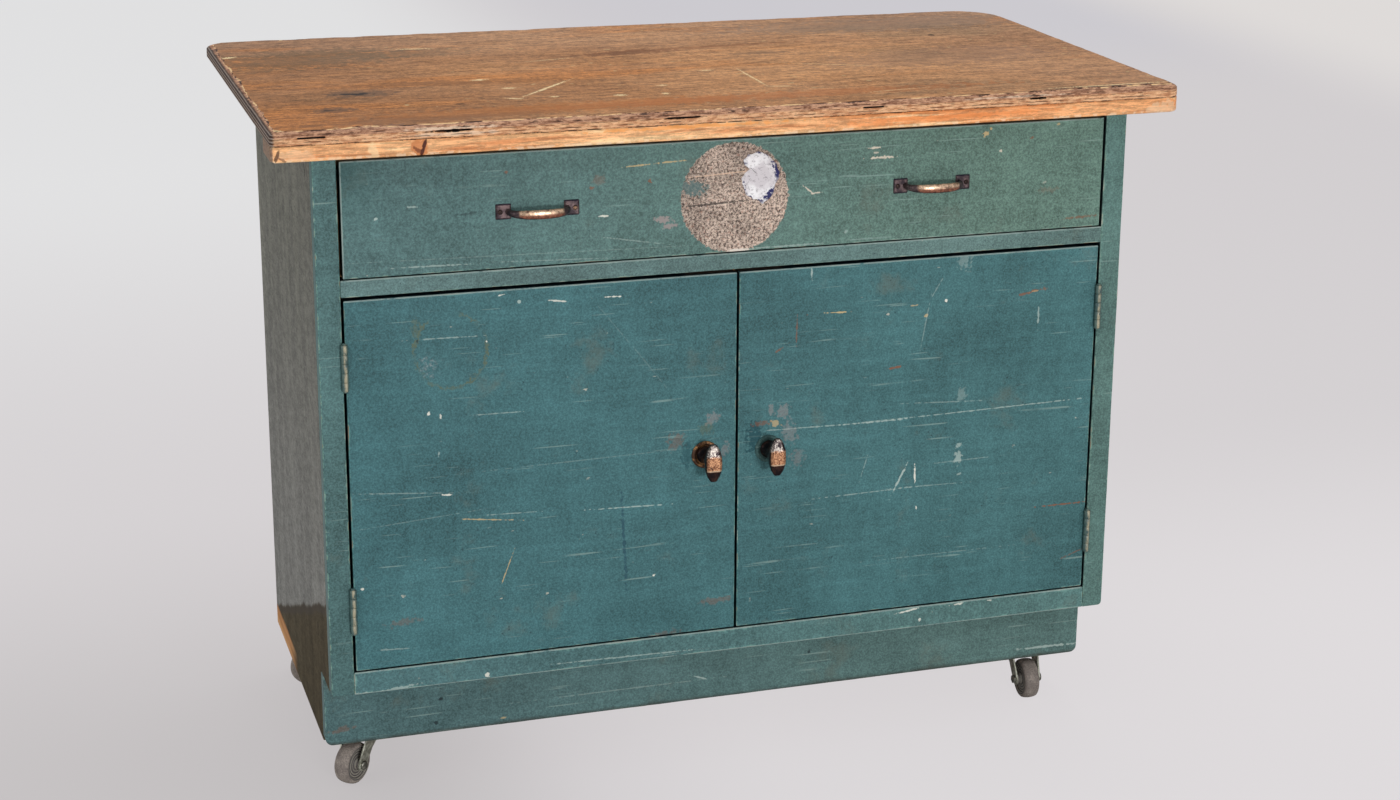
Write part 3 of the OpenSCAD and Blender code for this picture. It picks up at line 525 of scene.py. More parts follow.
def rims_and_gaps(f, colour, box, ragged, bright, gaps):
    """A pale rim along some front arrises, partly rubbed paint and partly a painted highlight,
    and painted shade with some grime where a side faces a gap.
    """
    low, high = box
    depth = f.minus(f.y, low[1])
    sides = {"x-": (f.x, low[0], 1), "x+": (f.x, high[0], -1),
             "z-": (f.z, low[2], 1), "z+": (f.z, high[2], -1)}
    # Pale rims along the named front arrises: partly rubbed paint, partly a painted highlight
    for side in bright.split():
        along, edge, way = sides[side]
        inward = f.times(f.minus(along, edge), way)
        rim = f.times(f.fade(inward, 1.9 * MM, 1.0 * MM), f.fade(depth, 1.8 * MM, 0.9 * MM))
        rim = f.times(rim, f.fade(ragged, 0.3, 0.44))
        colour = f.lay(colour, rim, 0.75, tone(154, 172, 168))
    # Painted shade, with some grime: a navy-black band on each side face that looks into a narrow gap
    for side in gaps.split():
        along, edge, way = sides[side]
        inward = f.times(f.minus(along, edge), way)
        inside = f.times(f.fade(inward, 0.5 * MM, 0.2 * MM), f.fade(depth, 0.9 * MM, 2.2 * MM))
        colour = f.lay(colour, inside, 0.9, GAP_SHADE_AND_GRIME)
    return colour


print("wear ready")

# %% Paint recipe
def paint(name, box, base, seed, marks=None, worn=1.5 * MM, dirt_up=0.0, east=1.0, gaps="", bright=""):
    """Satin paint on one board. marks adds the blemishes that only this board has. gaps names the sides,
    such as x+ or z-, that face a narrow gap and get its painted shade, with some grime. bright names the sides
    whose front arris is rubbed pale and painted as a highlight all along."""
    f = Finish(name, specular=0.14)
    colour, cloud, speck, bruise = coat_of_paint(f, base, seed, east)
    colour, lines, chips = scratched(f, colour, seed, bruise)
    colour, bare, ragged = rubbed_arrises(f, colour, box, base, seed, worn)
    if marks:
        colour = marks(f, colour)
    if dirt_up:
        climb = f.plus(f.minus(f.z, box[0][2]), f.times(bruise, -dirt_up))
        colour = f.mix(f.fade(climb, dirt_up * 0.3, -dirt_up * 0.5, 0, 0.7), colour, DIRT)
    colour = rims_and_gaps(f, colour, box, ragged, bright, gaps)
    height = f.minus(f.times(speck, 0.4), f.math("MAXIMUM", bare, chips))
    f.bump(f.minus(height, f.times(lines, 0.4)), 0.12 * MM, 0.7)
    rough = f.plus(f.fade(cloud, 0.3, 0.7, 0.42, 0.55), f.times(f.math("MAXIMUM", bare, lines), 0.25))
    return f.done(colour, rough)


print("paint recipe ready")

# %% [markdown]
# ## Marks on the doors and the drawer
#
# Some blemishes are too large to leave to chance: a ring left by a tin, a long scrape, a round
# patch where something stuck on was torn away. Each is a ragged ellipse at a measured place. They could be
# painted as a texture, but a few ellipses stay sharp at any size and need no picture. Two dark teal
# ellipses on the doors are painted shadows of the knobs, and the darker left end of the drawer is painted shadow too.

# %% Inks and strokes
PALE = tone(176, 194, 188)
WHITE = tone(226, 226, 214)
RUST = tone(134, 88, 66)
STRAW = tone(206, 180, 132)
CREAM = tone(220, 208, 190)
MAUVE = tone(164, 148, 146)
OLIVE = tone(98, 108, 86)
NAVY = tone(34, 66, 84)
DARK = tone(40, 52, 56)
# Painted shadow: the colour of the knobs' shadows on the doors
KNOB_SHADOW_INK = tone(24, 66, 76)
PATCH_AT, PATCH_R = (-5.5, 728), 66


def strokes(f, colour, rag, list_of_marks, plane="xz"):
    """Draws a list of ragged ellipses on two coordinates. Each one is a place (a, b), a half size (a, b),
    an angle, a colour and a strength, with lengths in millimetres and the angle in degrees."""
    a, b = getattr(f, plane[0]), getattr(f, plane[1])
    for at_a, at_b, half_a, half_b, angle, ink, strength in list_of_marks:
        spot = f.blot(a, b, (at_a, at_b), (half_a, half_b), angle, rag, 0.9, 0.3)
        colour = f.lay(colour, spot, strength, ink)
    return colour


print("inks and strokes ready")

# %% Marks on the left door
TIN_AT, TIN_HALF = (-346, 569), (44, 46)
TIN_LINE = 2.5


def left_door_marks(f, colour):
    rag = f.noise(230, detail=2, seed=31)
    outer, inner = [f.blot(f.x, f.z, TIN_AT, [half - line for half in TIN_HALF], 0, rag, 0.08, 0.02)
                    for line in (0.0, TIN_LINE)]
    broken = f.math("SUBTRACT", outer, inner, clamp=True)
    ring = f.times(broken, f.fade(f.noise(30, detail=2, seed=32), 0.4, 0.6))
    colour = f.lay(colour, ring, 0.75, OLIVE)
    smear = f.fade(f.noise(220, detail=4, rough=0.7, seed=33), 0.46, 0.62)
    scuff = f.times(f.blot(f.x, f.z, (-372, 553), (9, 12), 10, rag, 0.6, 0.6), smear)
    colour = f.lay(colour, scuff, 0.6, tone(150, 156, 158))
    return strokes(f, colour, rag, [
        (-353, 585, 34, 0.7, -1, PALE, 0.5), (-386, 595, 4, 13, 4, OLIVE, 0.45), (-384, 585, 1.6, 1.6, 0, DARK, 0.8),
        (-304, 577, 1.3, 1.5, 0, WHITE, 1.0), (-286, 631, 5, 0.8, 8, WHITE, 0.8),
        (-265, 622, 1.4, 1.6, 0, PALE, 0.8), (-219, 619, 8, 0.9, -9, WHITE, 0.8),
        (-153, 619, 8, 0.8, -2, WHITE, 0.9),
        (-374, 496, 1.6, 2.0, 0, WHITE, 0.95), (-360, 491, 1.4, 3, 0, WHITE, 0.8),
        (-296, 489, 31, 0.6, -1, PALE, 0.5), (-363, 446, 1.0, 5, 0, PALE, 0.6), (-407, 402, 51, 0.6, -5, PALE, 0.35),
        (-356, 395, 5, 0.9, -3, WHITE, 0.9), (-305, 359, 29, 0.7, -7, STRAW, 0.7),
        (-282, 364, 34, 0.5, -2, PALE, 0.5), (-139, 357, 41, 0.7, -2, PALE, 0.7),
        (-141, 314, 45, 1.8, -87, NAVY, 0.6), (-284, 296, 21, 0.7, 69, STRAW, 0.7),
        (-104, 266, 1.4, 1.4, 0, WHITE, 1.0), (-457, 289, 1.3, 1.3, 0, WHITE, 0.9), (-409, 242, 16, 4, 6, RUST, 0.3),
        (-96, 186, 22, 4, 8, RUST, 0.28), (-25, 224, 16, 4, 4, RUST, 0.35), (-150, 582, 31, 0.6, -52, PALE, 0.12),
        (-113, 535, 28, 0.6, -53, PALE, 0.12), (-169, 422, 122, 0.5, 1, PALE, 0.22),
        (-393, 367, 65, 0.5, 4, PALE, 0.22), (-76, 434, 9, 8, 0, RUST, 0.35),
        (-39, 446, 9, 7, 0, OLIVE, 0.45), (-30, 459, 8, 6, 20, MAUVE, 0.35), (-15, 419, 5, 7, 0, MAUVE, 0.3),
        # Painted shadow: the dark teal blot just left of the knob is the knob's shadow
        (-62, 417, 7, 14, 0, KNOB_SHADOW_INK, 0.5), (-423, 209, 20, 0.8, -3, PALE, 0.4)])


print("left door: a ring, a scuff and its strokes")

# %% Marks on the right door
def right_door_marks(f, colour):
    rag = f.noise(230, detail=2, seed=41)
    return strokes(f, colour, rag, [
        (92, 629, 0.9, 7, 2, PALE, 0.7), (289, 634, 8, 12, 0, PALE, 0.28), (383, 585, 16, 1.8, 9, RUST, 0.75),
        (385, 585, 8, 0.9, 5, STRAW, 0.5), (266, 582, 1.6, 1.6, 0, WHITE, 1.0), (224, 579, 6, 0.8, 2, STRAW, 0.6),
        (241, 565, 2, 1.6, 0, STRAW, 0.7), (124, 578, 13, 0.7, -2, STRAW, 0.9), (88, 578, 2, 1.3, 0, RUST, 0.8),
        (74, 560, 16, 0.8, 89, RUST, 0.6), (52, 537, 9, 1.1, 30, RUST, 0.6), (203, 502, 10, 1.4, 6, RUST, 0.85),
        (390, 550, 0.9, 10, 0, PALE, 0.6), (240, 555, 30, 0.6, 80, PALE, 0.3), (254, 599, 17, 0.6, 59, PALE, 0.3),
        (87, 436, 58, 0.7, -1, PALE, 0.55), (180, 435, 35, 0.9, 0, PALE, 0.6), (338, 438, 123, 0.7, 1, PALE, 0.6),
        (269, 452, 41, 0.6, -3, PALE, 0.35), (289, 393, 4, 3, 0, PALE, 0.6), (289, 377, 4, 7, 0, PALE, 0.6),
        (290, 356, 3, 2, 0, PALE, 0.5), (232, 360, 10, 1.0, -88, WHITE, 0.95), (211, 356, 17, 1.1, 63, PALE, 0.85),
        (165, 380, 15, 0.7, 74, PALE, 0.35), (235, 317, 1.1, 3, 0, WHITE, 0.9), (167, 344, 46, 0.6, 1, PALE, 0.5),
        (251, 345, 38, 0.6, -1, PALE, 0.4), (297, 374, 38, 0.6, 1, PALE, 0.3), (432, 301, 28, 0.9, 0, RUST, 0.8),
        # Painted shadow: the dark teal blot just left of the knob is the knob's shadow
        (453, 233, 14, 0.9, 20, RUST, 0.5), (22, 430, 11, 17, 0, KNOB_SHADOW_INK, 0.7),
        (48, 445, 6, 4, -20, STRAW, 0.6), (33, 446, 10, 3, 0, RUST, 0.5), (42, 462, 3, 5, 0, MAUVE, 0.35),
        (58, 459, 8, 6, 30, MAUVE, 0.35), (68, 432, 8, 12, 0, MAUVE, 0.3), (78, 397, 8, 9, 0, MAUVE, 0.25),
        (263, 253, 74, 0.6, 0, PALE, 0.25), (292, 459, 5, 9, 0, PALE, 0.25)])


print("right door: strokes alone")

# %% Marks on the drawer
def drawer_marks(f, colour):
    rag = f.noise(260, detail=3, seed=51)
    shadow = f.times(f.fade(f.x, -0.4, -0.47), f.fade(f.z, 0.7, 0.8))
    colour = f.lay(colour, shadow, 0.6, tone(44, 80, 80))
    colour = strokes(f, colour, rag, [
        (-386, 741, 5, 1.2, 0, PALE, 0.6), (-428, 730, 1.5, 1.5, 0, PALE, 0.9), (-325, 729, 14, 1.6, 5, DARK, 0.5),
        (-278, 774, 2, 1.6, 0, RUST, 0.7), (-170, 759, 7, 5, 0, RUST, 0.3), (-178, 750, 2.4, 2, 0, RUST, 0.7),
        (-121, 773, 13, 0.9, 3, STRAW, 0.75), (-83, 775, 16, 0.9, 2, STRAW, 0.75), (-108, 754, 2.2, 2, 0, RUST, 0.8),
        (-164, 716, 6, 0.9, 0, WHITE, 0.9), (-93, 707, 9, 3.4, -8, MAUVE, 0.75), (-84, 699, 8, 2.6, 10, MAUVE, 0.7),
        (-132, 685, 36, 0.7, -10, PALE, 0.35), (-366, 671, 39, 0.9, -1, PALE, 0.5),
        (-225, 668, 56, 0.7, -2, PALE, 0.3), (169, 777, 7, 1.1, 0, CREAM, 0.9), (177, 765, 12, 1.5, 0, CREAM, 0.9),
        (170, 771, 3, 1, 0, CREAM, 0.6), (85, 732, 7, 0.8, -39, CREAM, 0.8), (96, 727, 6, 0.9, 3, CREAM, 0.8),
        (134, 678, 2, 2, 0, PALE, 0.5), (311, 786, 3.4, 2.4, 30, STRAW, 0.8), (317, 792, 1.6, 1.6, 0, STRAW, 0.8),
        (331, 764, 1.5, 1.5, 0, CREAM, 0.8), (371, 778, 2.2, 1.8, 0, RUST, 0.7), (406, 793, 2.4, 1.4, 0, STRAW, 0.7),
        (395, 712, 14, 3, 0, RUST, 0.22), (441, 675, 20, 1.6, 2, RUST, 0.6), (60, 665, 40, 0.9, 0, PALE, 0.5),
        (230, 663, 91, 0.6, 0, PALE, 0.3), (2, 664, 9, 1.6, 4, WHITE, 0.7), (-250, 677, 202, 0.5, -1, PALE, 0.2)])
    patch = f.blot(f.x, f.z, PATCH_AT, (PATCH_R, PATCH_R), 0, rag, 0.035, 0.012)
    fine = f.noise(330, detail=4, rough=0.8, seed=52)
    wide = f.noise(26, detail=4, seed=53)
    ground = f.mix(f.fade(fine, 0.4, 0.6), tone(92, 76, 70), tone(206, 186, 170))
    ground = f.lit(ground, 1.0, (wide, 0.36, 0.66, 0.22))
    low_half = f.fade(f.z, 745 * MM, 690 * MM)
    pits = f.times(f.fade(fine, 0.43, 0.36), f.fade(low_half, 0, 1, 0.5, 1.0))
    ground = f.mix(pits, ground, tone(44, 34, 32))
    grains = f.noise(290, detail=3, rough=0.7, seed=54)
    ground = f.mix(f.fade(grains, 0.58, 0.66, 0, 0.7), ground, tone(236, 214, 198))
    ground = f.mix(f.fade(grains, 0.4, 0.34, 0, 0.5), ground, tone(196, 140, 120))
    left_paint = f.times(f.blot(f.x, f.z, (-56, 742), (16, 8), -8, rag, 0.8, 0.3), 0.8)
    ground = f.mix(left_paint, ground, shade(TEAL_DRAWER, 0.95))
    ground = strokes(f, ground, rag, [(-22, 757, 36, 0.8, 3, tone(222, 190, 164), 0.7),
                                      (-30, 722, 42, 1.1, 2, tone(72, 64, 60), 0.8)])
    foot = f.blot(f.x, f.z, (0, 664), (14, 1.8), 0, rag, 0.4, 0.3)
    colour = f.mix(patch, colour, ground)
    return f.mix(foot, colour, tone(226, 216, 204))


print("drawer: strokes and the torn patch, radius", PATCH_R, "mm")

# %% Marks on the bottom rail
def rail_marks(f, colour):
    return strokes(f, colour, f.noise(240, detail=3, seed=55), [
        (-423, 158, 27, 1.6, 6, PALE, 0.6), (-476, 158, 25, 1.4, -2, WHITE, 0.35), (-311, 162, 3, 3, 0, WHITE, 0.85),
        (-140, 164, 82, 0.8, -1, PALE, 0.55), (228, 180, 12, 1.1, 8, WHITE, 0.85), (295, 181, 7, 1.1, 6, WHITE, 0.7),
        (244, 166, 2.4, 1.8, 0, WHITE, 0.8), (340, 181, 3, 1, 0, WHITE, 0.6)])


print("marks ready for the doors and the drawer")

# %% [markdown]
# ## The carcass boards
#
# The carcass shows its boards at the front and the sides: stiles, rails, toe kick, side panels,
# doors and the drawer front. Each one could be a plain box with a bevel. They are made as worn boards
# instead, from the solids' own boxes, so that the joints between them show as the fine V-shaped
# grooves that the photograph has.

# %% Stiles, rails and toe kick
SIDES = (("left", -1), ("right", 1))  # The name of each side and its way along x
STILE_CORNER = 5 * MM
KICK_CORNER = 9 * MM


def painted_board(name, piece, body, base, seed, node, slot="paint", **wear):
    return place(piece, body, slot, paint(name + " paint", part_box(node), base, seed, **wear), node)


for side, way in SIDES:
    low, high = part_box("stile_" + side)
    outer, inner = (low[0], high[0]) if way < 0 else (high[0], low[0])
    middle = (outer - way * STILE_CORNER, low[2] + STILE_CORNER)
    bend = arc(middle, STILE_CORNER, *((180, 270) if way < 0 else (0, -90)))
    outline = [(outer, high[2])] + bend + [(inner, low[2]), (inner, high[2])]
    piece = board("stile_" + side + "_board", outline, "y", low[1], high[1], 1.5 * MM, 0.5 * MM, 3 - way)
    painted_board("stile " + side, piece, "carcass", (84, 117, 117), 4.0 - way, "stile_" + side, worn=1.5 * MM,
                  gaps="x+" if way < 0 else "x-")

piece = box_board("middle_rail_board", "middle_rail", 1.1 * MM, 0.4 * MM, 7)
painted_board("middle rail", piece, "carcass", (99, 128, 127), 7.5, "middle_rail", worn=1.2 * MM, gaps="z+ z-",
              bright="z+", east=0.5)
piece = box_board("bottom_rail_board", "bottom_rail", 1.3 * MM, 0.5 * MM, 9)
painted_board("bottom rail", piece, "carcass", (82, 118, 121), 9.5, "bottom_rail", worn=2.2 * MM, gaps="z+",
              bright="z+ z-", marks=rail_marks)


def kick_marks(f, colour):
    return strokes(f, colour, f.noise(200, detail=2, seed=61), [
        (-356, 108, 2.2, 2.2, 0, DARK, 0.95), (-361, 78, 2.2, 2.2, 0, DARK, 0.9), (121, 111, 1.8, 1.8, 0, DARK, 0.8),
        (459, 77, 38, 1.4, -1, PALE, 0.7), (-279, 73, 4, 1, 0, STRAW, 0.6), (-25, 94, 9, 0.9, -21, PALE, 0.7),
        (-478, 84, 14, 3.0, 9, RUST, 0.35), (-128, 91, 103, 0.7, 0, PALE, 0.3)])


low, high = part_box("toe_kick")
visible_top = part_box("stile_left")[0][2]
piece = board("toe_kick_board",
              [(low[0], visible_top)] + arc((low[0] + KICK_CORNER, low[2] + KICK_CORNER), KICK_CORNER, 180, 270)
              + arc((high[0] - KICK_CORNER, low[2] + KICK_CORNER), KICK_CORNER, 270, 360) + [(high[0], visible_top)],
              "y", low[1], high[1], 1.8 * MM, 0.7 * MM, 11)
painted_board("toe kick", piece, "carcass", (86, 117, 119), 11.5, "toe_kick", worn=1.8 * MM, dirt_up=9 * MM,
              marks=kick_marks)

# %% [markdown]
# ## The doors and the drawer front
#
# The doors are painted on their faces and edges. Inside, the brush only went round the
# border and the wood stayed bare, as on most workshop furniture.

# %% Doors and drawer front
def bare_inside(marks, box):
    """The marks of the front, and raw wood on the back with a ragged border of paint."""
    low, high = box

    def both(f, colour):
        front = marks(f, colour)
        grain = f.noise(26, detail=4, stretch=(14, 1, 1), seed=71)
        wood = f.mix(f.fade(grain, 0.35, 0.65), tone(148, 116, 80), tone(186, 152, 108))
        in_x = f.math("MINIMUM", f.minus(f.x, low[0]), f.minus(high[0], f.x))
        in_z = f.math("MINIMUM", f.minus(f.z, low[2]), f.minus(high[2], f.z))
        brush = f.plus(f.math("MINIMUM", in_x, in_z), f.times(f.noise(30, detail=4, seed=72), -0.014))
        inside = f.times(f.fade(brush, 1 * MM, 3 * MM), f.fade(f.y, high[1] - 1 * MM, high[1] - 0.4 * MM))
        return f.mix(inside, front, wood)

    return both


for side, marks, seed in (("left", left_door_marks, 13), ("right", right_door_marks, 17)):
    node = "door_" + side
    piece = box_board(node + "_board", node, 1.2 * MM, 0.4 * MM, seed)
    painted_board("door " + side, piece, side + "_door", TEAL, seed + 0.5, node, worn=1.5 * MM,
                  marks=bare_inside(marks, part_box(node)), east=0.35, gaps="x- x+ z- z+", bright="z+")
piece = box_board("drawer_front_board", "drawer_front", 1.2 * MM, 0.4 * MM, 19)
painted_board("drawer front", piece, "drawer", TEAL_DRAWER, 19.5, "drawer_front", slot="drawer_paint", worn=1.5 * MM,
              marks=bare_inside(drawer_marks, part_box("drawer_front")), east=2.4, gaps="x- x+ z- z+", bright="x- z+")

# %% [markdown]
# ## The side panels
#
# The sides carry thinner, greyer paint with faint vertical streaks. It ends in a slanting line near
# the floor, below which the old brown coat shows, and a strip of bare orange wood runs along the
# lower rear edge. The solids already have the notch of the toe recess and the rebate of
# the back, so their meshes are copied and cleaned rather than built again.

# %% Side panels
OLD_COAT_SLOPE = 0.393  # The old brown coat shows lower down towards the back
OLD_COAT_TOP = 0.176
BARE_STRIP_H = 26 * MM


def side_paint(name, box, seed):
    low, high = box
    f = Finish(name, specular=0.1)
    lower = f.fade(f.z, 0.75, 0.15)
    colour = f.mix(lower, tone(110, 110, 101), tone(124, 124, 120))
    cloud = f.noise(3.0, detail=5, rough=0.6, stretch=(1, 1, 0.5), seed=seed)
    streak = f.noise(34, detail=4, rough=0.7, stretch=(1, 1, 0.06), seed=seed + 1)
    mottle = f.noise(150, detail=4, rough=0.8, stretch=(1, 0.26, 0.6), seed=seed + 7)
    speck = f.noise(430, detail=3, rough=0.75, stretch=(1, 0.3, 1), seed=seed + 2)
    layers = ((cloud, 0.3, 0.7, 0.12), (streak, 0.38, 0.66, 0.2), (mottle, 0.38, 0.62, 0.18),
              (speck, 0.38, 0.64, 0.2))
    colour = f.lit(colour, 1.03, *layers)
    rag = f.noise(24, detail=5, rough=0.6, seed=seed + 3)
    line = f.plus(f.times(f.y, OLD_COAT_SLOPE), f.z)
    line = f.plus(line, f.times(f.minus(rag, 0.5), 0.02))
    brown = f.lit(f.mix(f.fade(cloud, 0.4, 0.6), tone(72, 64, 48), tone(84, 78, 62)), 1.1, *layers[1:])
    under = f.fade(line, OLD_COAT_TOP, OLD_COAT_TOP - 6 * MM)
    colour = f.mix(under, colour, brown)
    rim = f.times(under, f.fade(line, OLD_COAT_TOP - 18 * MM, OLD_COAT_TOP - 10 * MM))
    colour = f.lay(colour, rim, 0.7, tone(72, 66, 60))
    near = f.edge_distance(low, high)
    reach = f.fade(f.noise(50, detail=4, seed=seed + 4), 0.38, 0.72, 0.2, 2.0)
    rubbed = f.fade(f.math("DIVIDE", near, reach), 2.4 * MM, 1.0 * MM)
    colour = f.lay(colour, rubbed, 0.55, tone(128, 120, 104))
    strip = f.plus(f.minus(f.z, low[2]), f.times(rag, -8 * MM))
    rear = f.fade(f.y, 0.02, 0.1)
    bare = f.times(f.fade(strip, BARE_STRIP_H, BARE_STRIP_H - 6 * MM), rear)
    grain = f.noise(90, detail=3, stretch=(1, 0.08, 1), seed=seed + 5)
    colour = f.mix(bare, colour, f.mix(f.fade(grain, 0.35, 0.65), tone(176, 124, 80), tone(206, 158, 110)))
    fine = f.noise(210, detail=2, seed=seed + 6)
    dark = tone(30, 28, 26)
    colour = strokes(f, colour, fine, [
        (-201, 780, 2.6, 11, 0, dark, 0.95), (-215, 784, 3.0, 6, 0, tone(74, 66, 56), 0.7),
        (-165, 210, 2.4, 9, 0, dark, 0.95), (196, 139, 2.5, 10, 0, tone(66, 60, 50), 0.8)], "yz")
    f.bump(f.plus(f.times(speck, 0.3), f.times(under, -0.5)), 0.15 * MM, 0.7)
    return f.done(colour, f.blend(under, f.fade(streak, 0.35, 0.7, 0.5, 0.62), 0.8))


for side, seed in (("left", 21), ("right", 24)):
    node = "side_" + side
    piece = copied_board(node + "_board", node, 1.3 * MM, 0.5 * MM, seed)
    place(piece, "carcass", "side_paint", side_paint(node + " paint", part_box(node), seed + 0.5), node)

# %% [markdown]
# ## The worktop
#
# The worktop is a sheet of plywood on pine boards. One board runs along the whole front edge, and the
# others stay inside the body's outline, so that the left end shows only the plywood. The sheet's four
# corners have worn to different radii. The edge is what makes it look real: pale plies with dark
# glue lines between them, a rounded upper arris, a top veneer that has broken back in small steps, and a
# few open voids. A bevelled box can't show any of that, so the edge is swept. A list of rows
# gives the profile from bottom to top, and each row may move in or out on its way round.

# %% Worktop outline
CORNER_RADII = (7 * MM, 16 * MM, 70 * MM, 24 * MM)
EDGE_STEP = 4 * MM
MAX_INSET = 0.85  # How far the edge may move in at a corner, as a share of its radius


def rounded_stations(low, high, radii, step):
    """Points round a rectangle from its front left corner, each with its outward direction and how
    far it may move in."""
    corners = ((low[0], low[1]), (high[0], low[1]), (high[0], high[1]), (low[0], high[1]))
    inward = ((1, 1), (-1, 1), (-1, -1), (1, -1))
    stations = []
    for k in range(4):
        r, (sx, sy) = radii[k], inward[k]
        centre = Vector((corners[k][0] + sx * r, corners[k][1] + sy * r))
        count = max(6, int(r * math.pi / 2 / step))
        for i in range(count + 1):
            t = math.radians(180 + 90 * k + 90 * i / count)
            out = Vector((math.cos(t), math.sin(t)))
            stations.append((centre + out * r, out, MAX_INSET * r))
        r_next, (nx, ny) = radii[(k + 1) % 4], inward[(k + 1) % 4]
        corner = corners[(k + 1) % 4]
        end = Vector((corner[0] + nx * r_next, corner[1] + ny * r_next)) + out * r_next
        start = stations[-1][0]
        pieces = int((end - start).length / step)
        stations += [(start.lerp(end, i / pieces), out, MAX_INSET * min(r, r_next) + min(i, pieces - i) * step)
                     for i in range(1, pieces)]
    return stations


print("corner radii in mm:", [round(r / MM) for r in CORNER_RADII])

# %% The slab that is swept round
def sweep_slab(bm, stations, rows):
    """Adds a closed slab. rows(point) gives its (inset, height) pairs from the bottom to the top."""
    rings = []
    for point, out, reach in stations:
        ring = []
        for inset, height in rows(point):
            spot = point - out * min(inset, reach)
            ring.append(bm.verts.new((spot.x, spot.y, height)))
        rings.append(ring)
    for a, b in zip(rings, rings[1:] + rings[:1]):
        for i in range(len(a) - 1):
            bm.faces.new((a[i], b[i], b[i + 1], a[i + 1])).smooth = True
    bm.faces.new([ring[-1] for ring in rings])
    bm.faces.new([ring[0] for ring in rings][::-1])


def ripple(point, pitch, seed):
    """A smooth random value from -1 to 1 that changes about every 1/pitch metres."""
    return noise.noise(Vector((point.x * pitch, point.y * pitch, seed)))


print("slab helper ready")

# %% Profiles of the two layers
PINE_LOW, PINE_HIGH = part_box("worktop_core")
PLY_LOW, PLY_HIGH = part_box("worktop_ply")
FRONT_BOARD_W = 60 * MM
# Open voids between the plies of the front edge: middle, half length and depth, in millimetres
FRONT_VOIDS = ((-346, 20, 6.0), (-82, 20, 4.5), (358, 11, 5.0), (-500, 16, 2.5), (150, 14, 2.0))
CHIP_AT, CHIP_HALF = -440 * MM, 21 * MM
SPLIT_FROM = 385 * MM


def pine_rows(point):
    worn = 0.8 * MM * (1 + ripple(point, 30, 1.5))
    knock = 5 * MM * max(0.0, ripple(point, 55, 9.1) - 0.4)
    end = 1.6 * MM if abs(point.x) > PINE_HIGH[0] - 3 * MM else 0.0
    base, top = PINE_LOW[2], PINE_HIGH[2]
    gap = 0.6 * MM * (1 + ripple(point, 60, 3.3))
    return ((1.9 * MM + worn + knock + end, base), (0.8 * MM + 0.5 * worn + knock + end, base + 0.5 * MM),
            (0.2 * MM + 0.5 * knock, base + 1.6 * MM), (0.1 * MM, base + 3.4 * MM),
            (0.15 * MM * ripple(point, 18, 4.4) + 0.15 * MM, base + 11 * MM),
            (0.0, top - 1.4 * MM), (0.4 * MM + gap, top - 0.7 * MM), (0.9 * MM + gap, top))


def ply_rows(point):
    base = PLY_LOW[2]
    rub = 0.8 * MM * (1 + ripple(point, 14, 5.0)) + 0.7 * MM * ripple(point, 60, 5.5)
    ragged = 4.0 * MM * max(0.0, 0.3 + ripple(point, 26, 6.0)) + 2.4 * MM * max(0.0, ripple(point, 130, 6.6))
    split = 1.4 * MM * max(0.0, ripple(point, 60, 7.0))
    void = gape = 0.0
    if point.y < PLY_LOW[1] + 4 * MM:
        for middle, half, depth in FRONT_VOIDS:
            if abs(point.x - middle * MM) < half * MM:
                void, gape = depth, 0.9
        ragged += 9 * MM * math.sqrt(max(0.0, 1 - ((point.x - CHIP_AT) / CHIP_HALF) ** 2))
        if point.x > SPLIT_FROM:
            ragged += 5 * MM * min(1.0, (point.x - SPLIT_FROM) / (30 * MM))
    rows = ((0.0, 0.9), (0.5, 0.3), (3.2, 0.1), (3.4, 0.7), (3.7, 0.7), (3.95, 0.15), (7.3 - gape, 0.2),
            (7.5 - gape, 0.6 + void), (7.75 + gape, 0.6 + void), (8.0 + gape, 0.25), (10.7, 0.4))
    profile = [(inset * MM + (split if inset in (0.7, 0.6) else 0.0), base + height * MM) for height, inset in rows]
    profile += [(0.9 * MM, base + 10.9 * MM), (0.9 * MM, base + 11.3 * MM),
                (0.6 * MM + 0.4 * rub, base + 11.6 * MM), (1.4 * MM + rub, base + 12.8 * MM),
                (2.7 * MM + 1.5 * rub, base + 13.6 * MM), (4.4 * MM + 1.6 * rub + 0.6 * ragged, base + 14.05 * MM),
                (4.7 * MM + 1.6 * rub + ragged, base + 14.15 * MM),
                (4.9 * MM + 1.6 * rub + ragged, base + 14.8 * MM),
                (5.6 * MM + 1.6 * rub + ragged, base + 15 * MM)]
    return profile


for label, low, high in (("plywood", PLY_LOW, PLY_HIGH), ("pine", PINE_LOW, PINE_HIGH)):
    print(label, "thickness:", round((high[2] - low[2]) / MM, 1), "mm")

# %% Worktop layers
def add_block(bm, middle, size):
    bmesh.ops.create_cube(bm, size=1.0, matrix=Matrix.Translation(middle) @ Matrix.Diagonal((*size, 1)))


def inside_board(bm):
    """The boards behind the front one, inside the body's outline."""
    low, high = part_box("side_left")[0][0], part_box("side_right")[1][0]
    front, back = PINE_LOW[1] + FRONT_BOARD_W, PINE_HIGH[1]
    add_block(bm, ((low + high) / 2, (front + back) / 2, (PINE_LOW[2] + PINE_HIGH[2]) / 2),
              (high - low, back - front, PINE_HIGH[2] - PINE_LOW[2]))


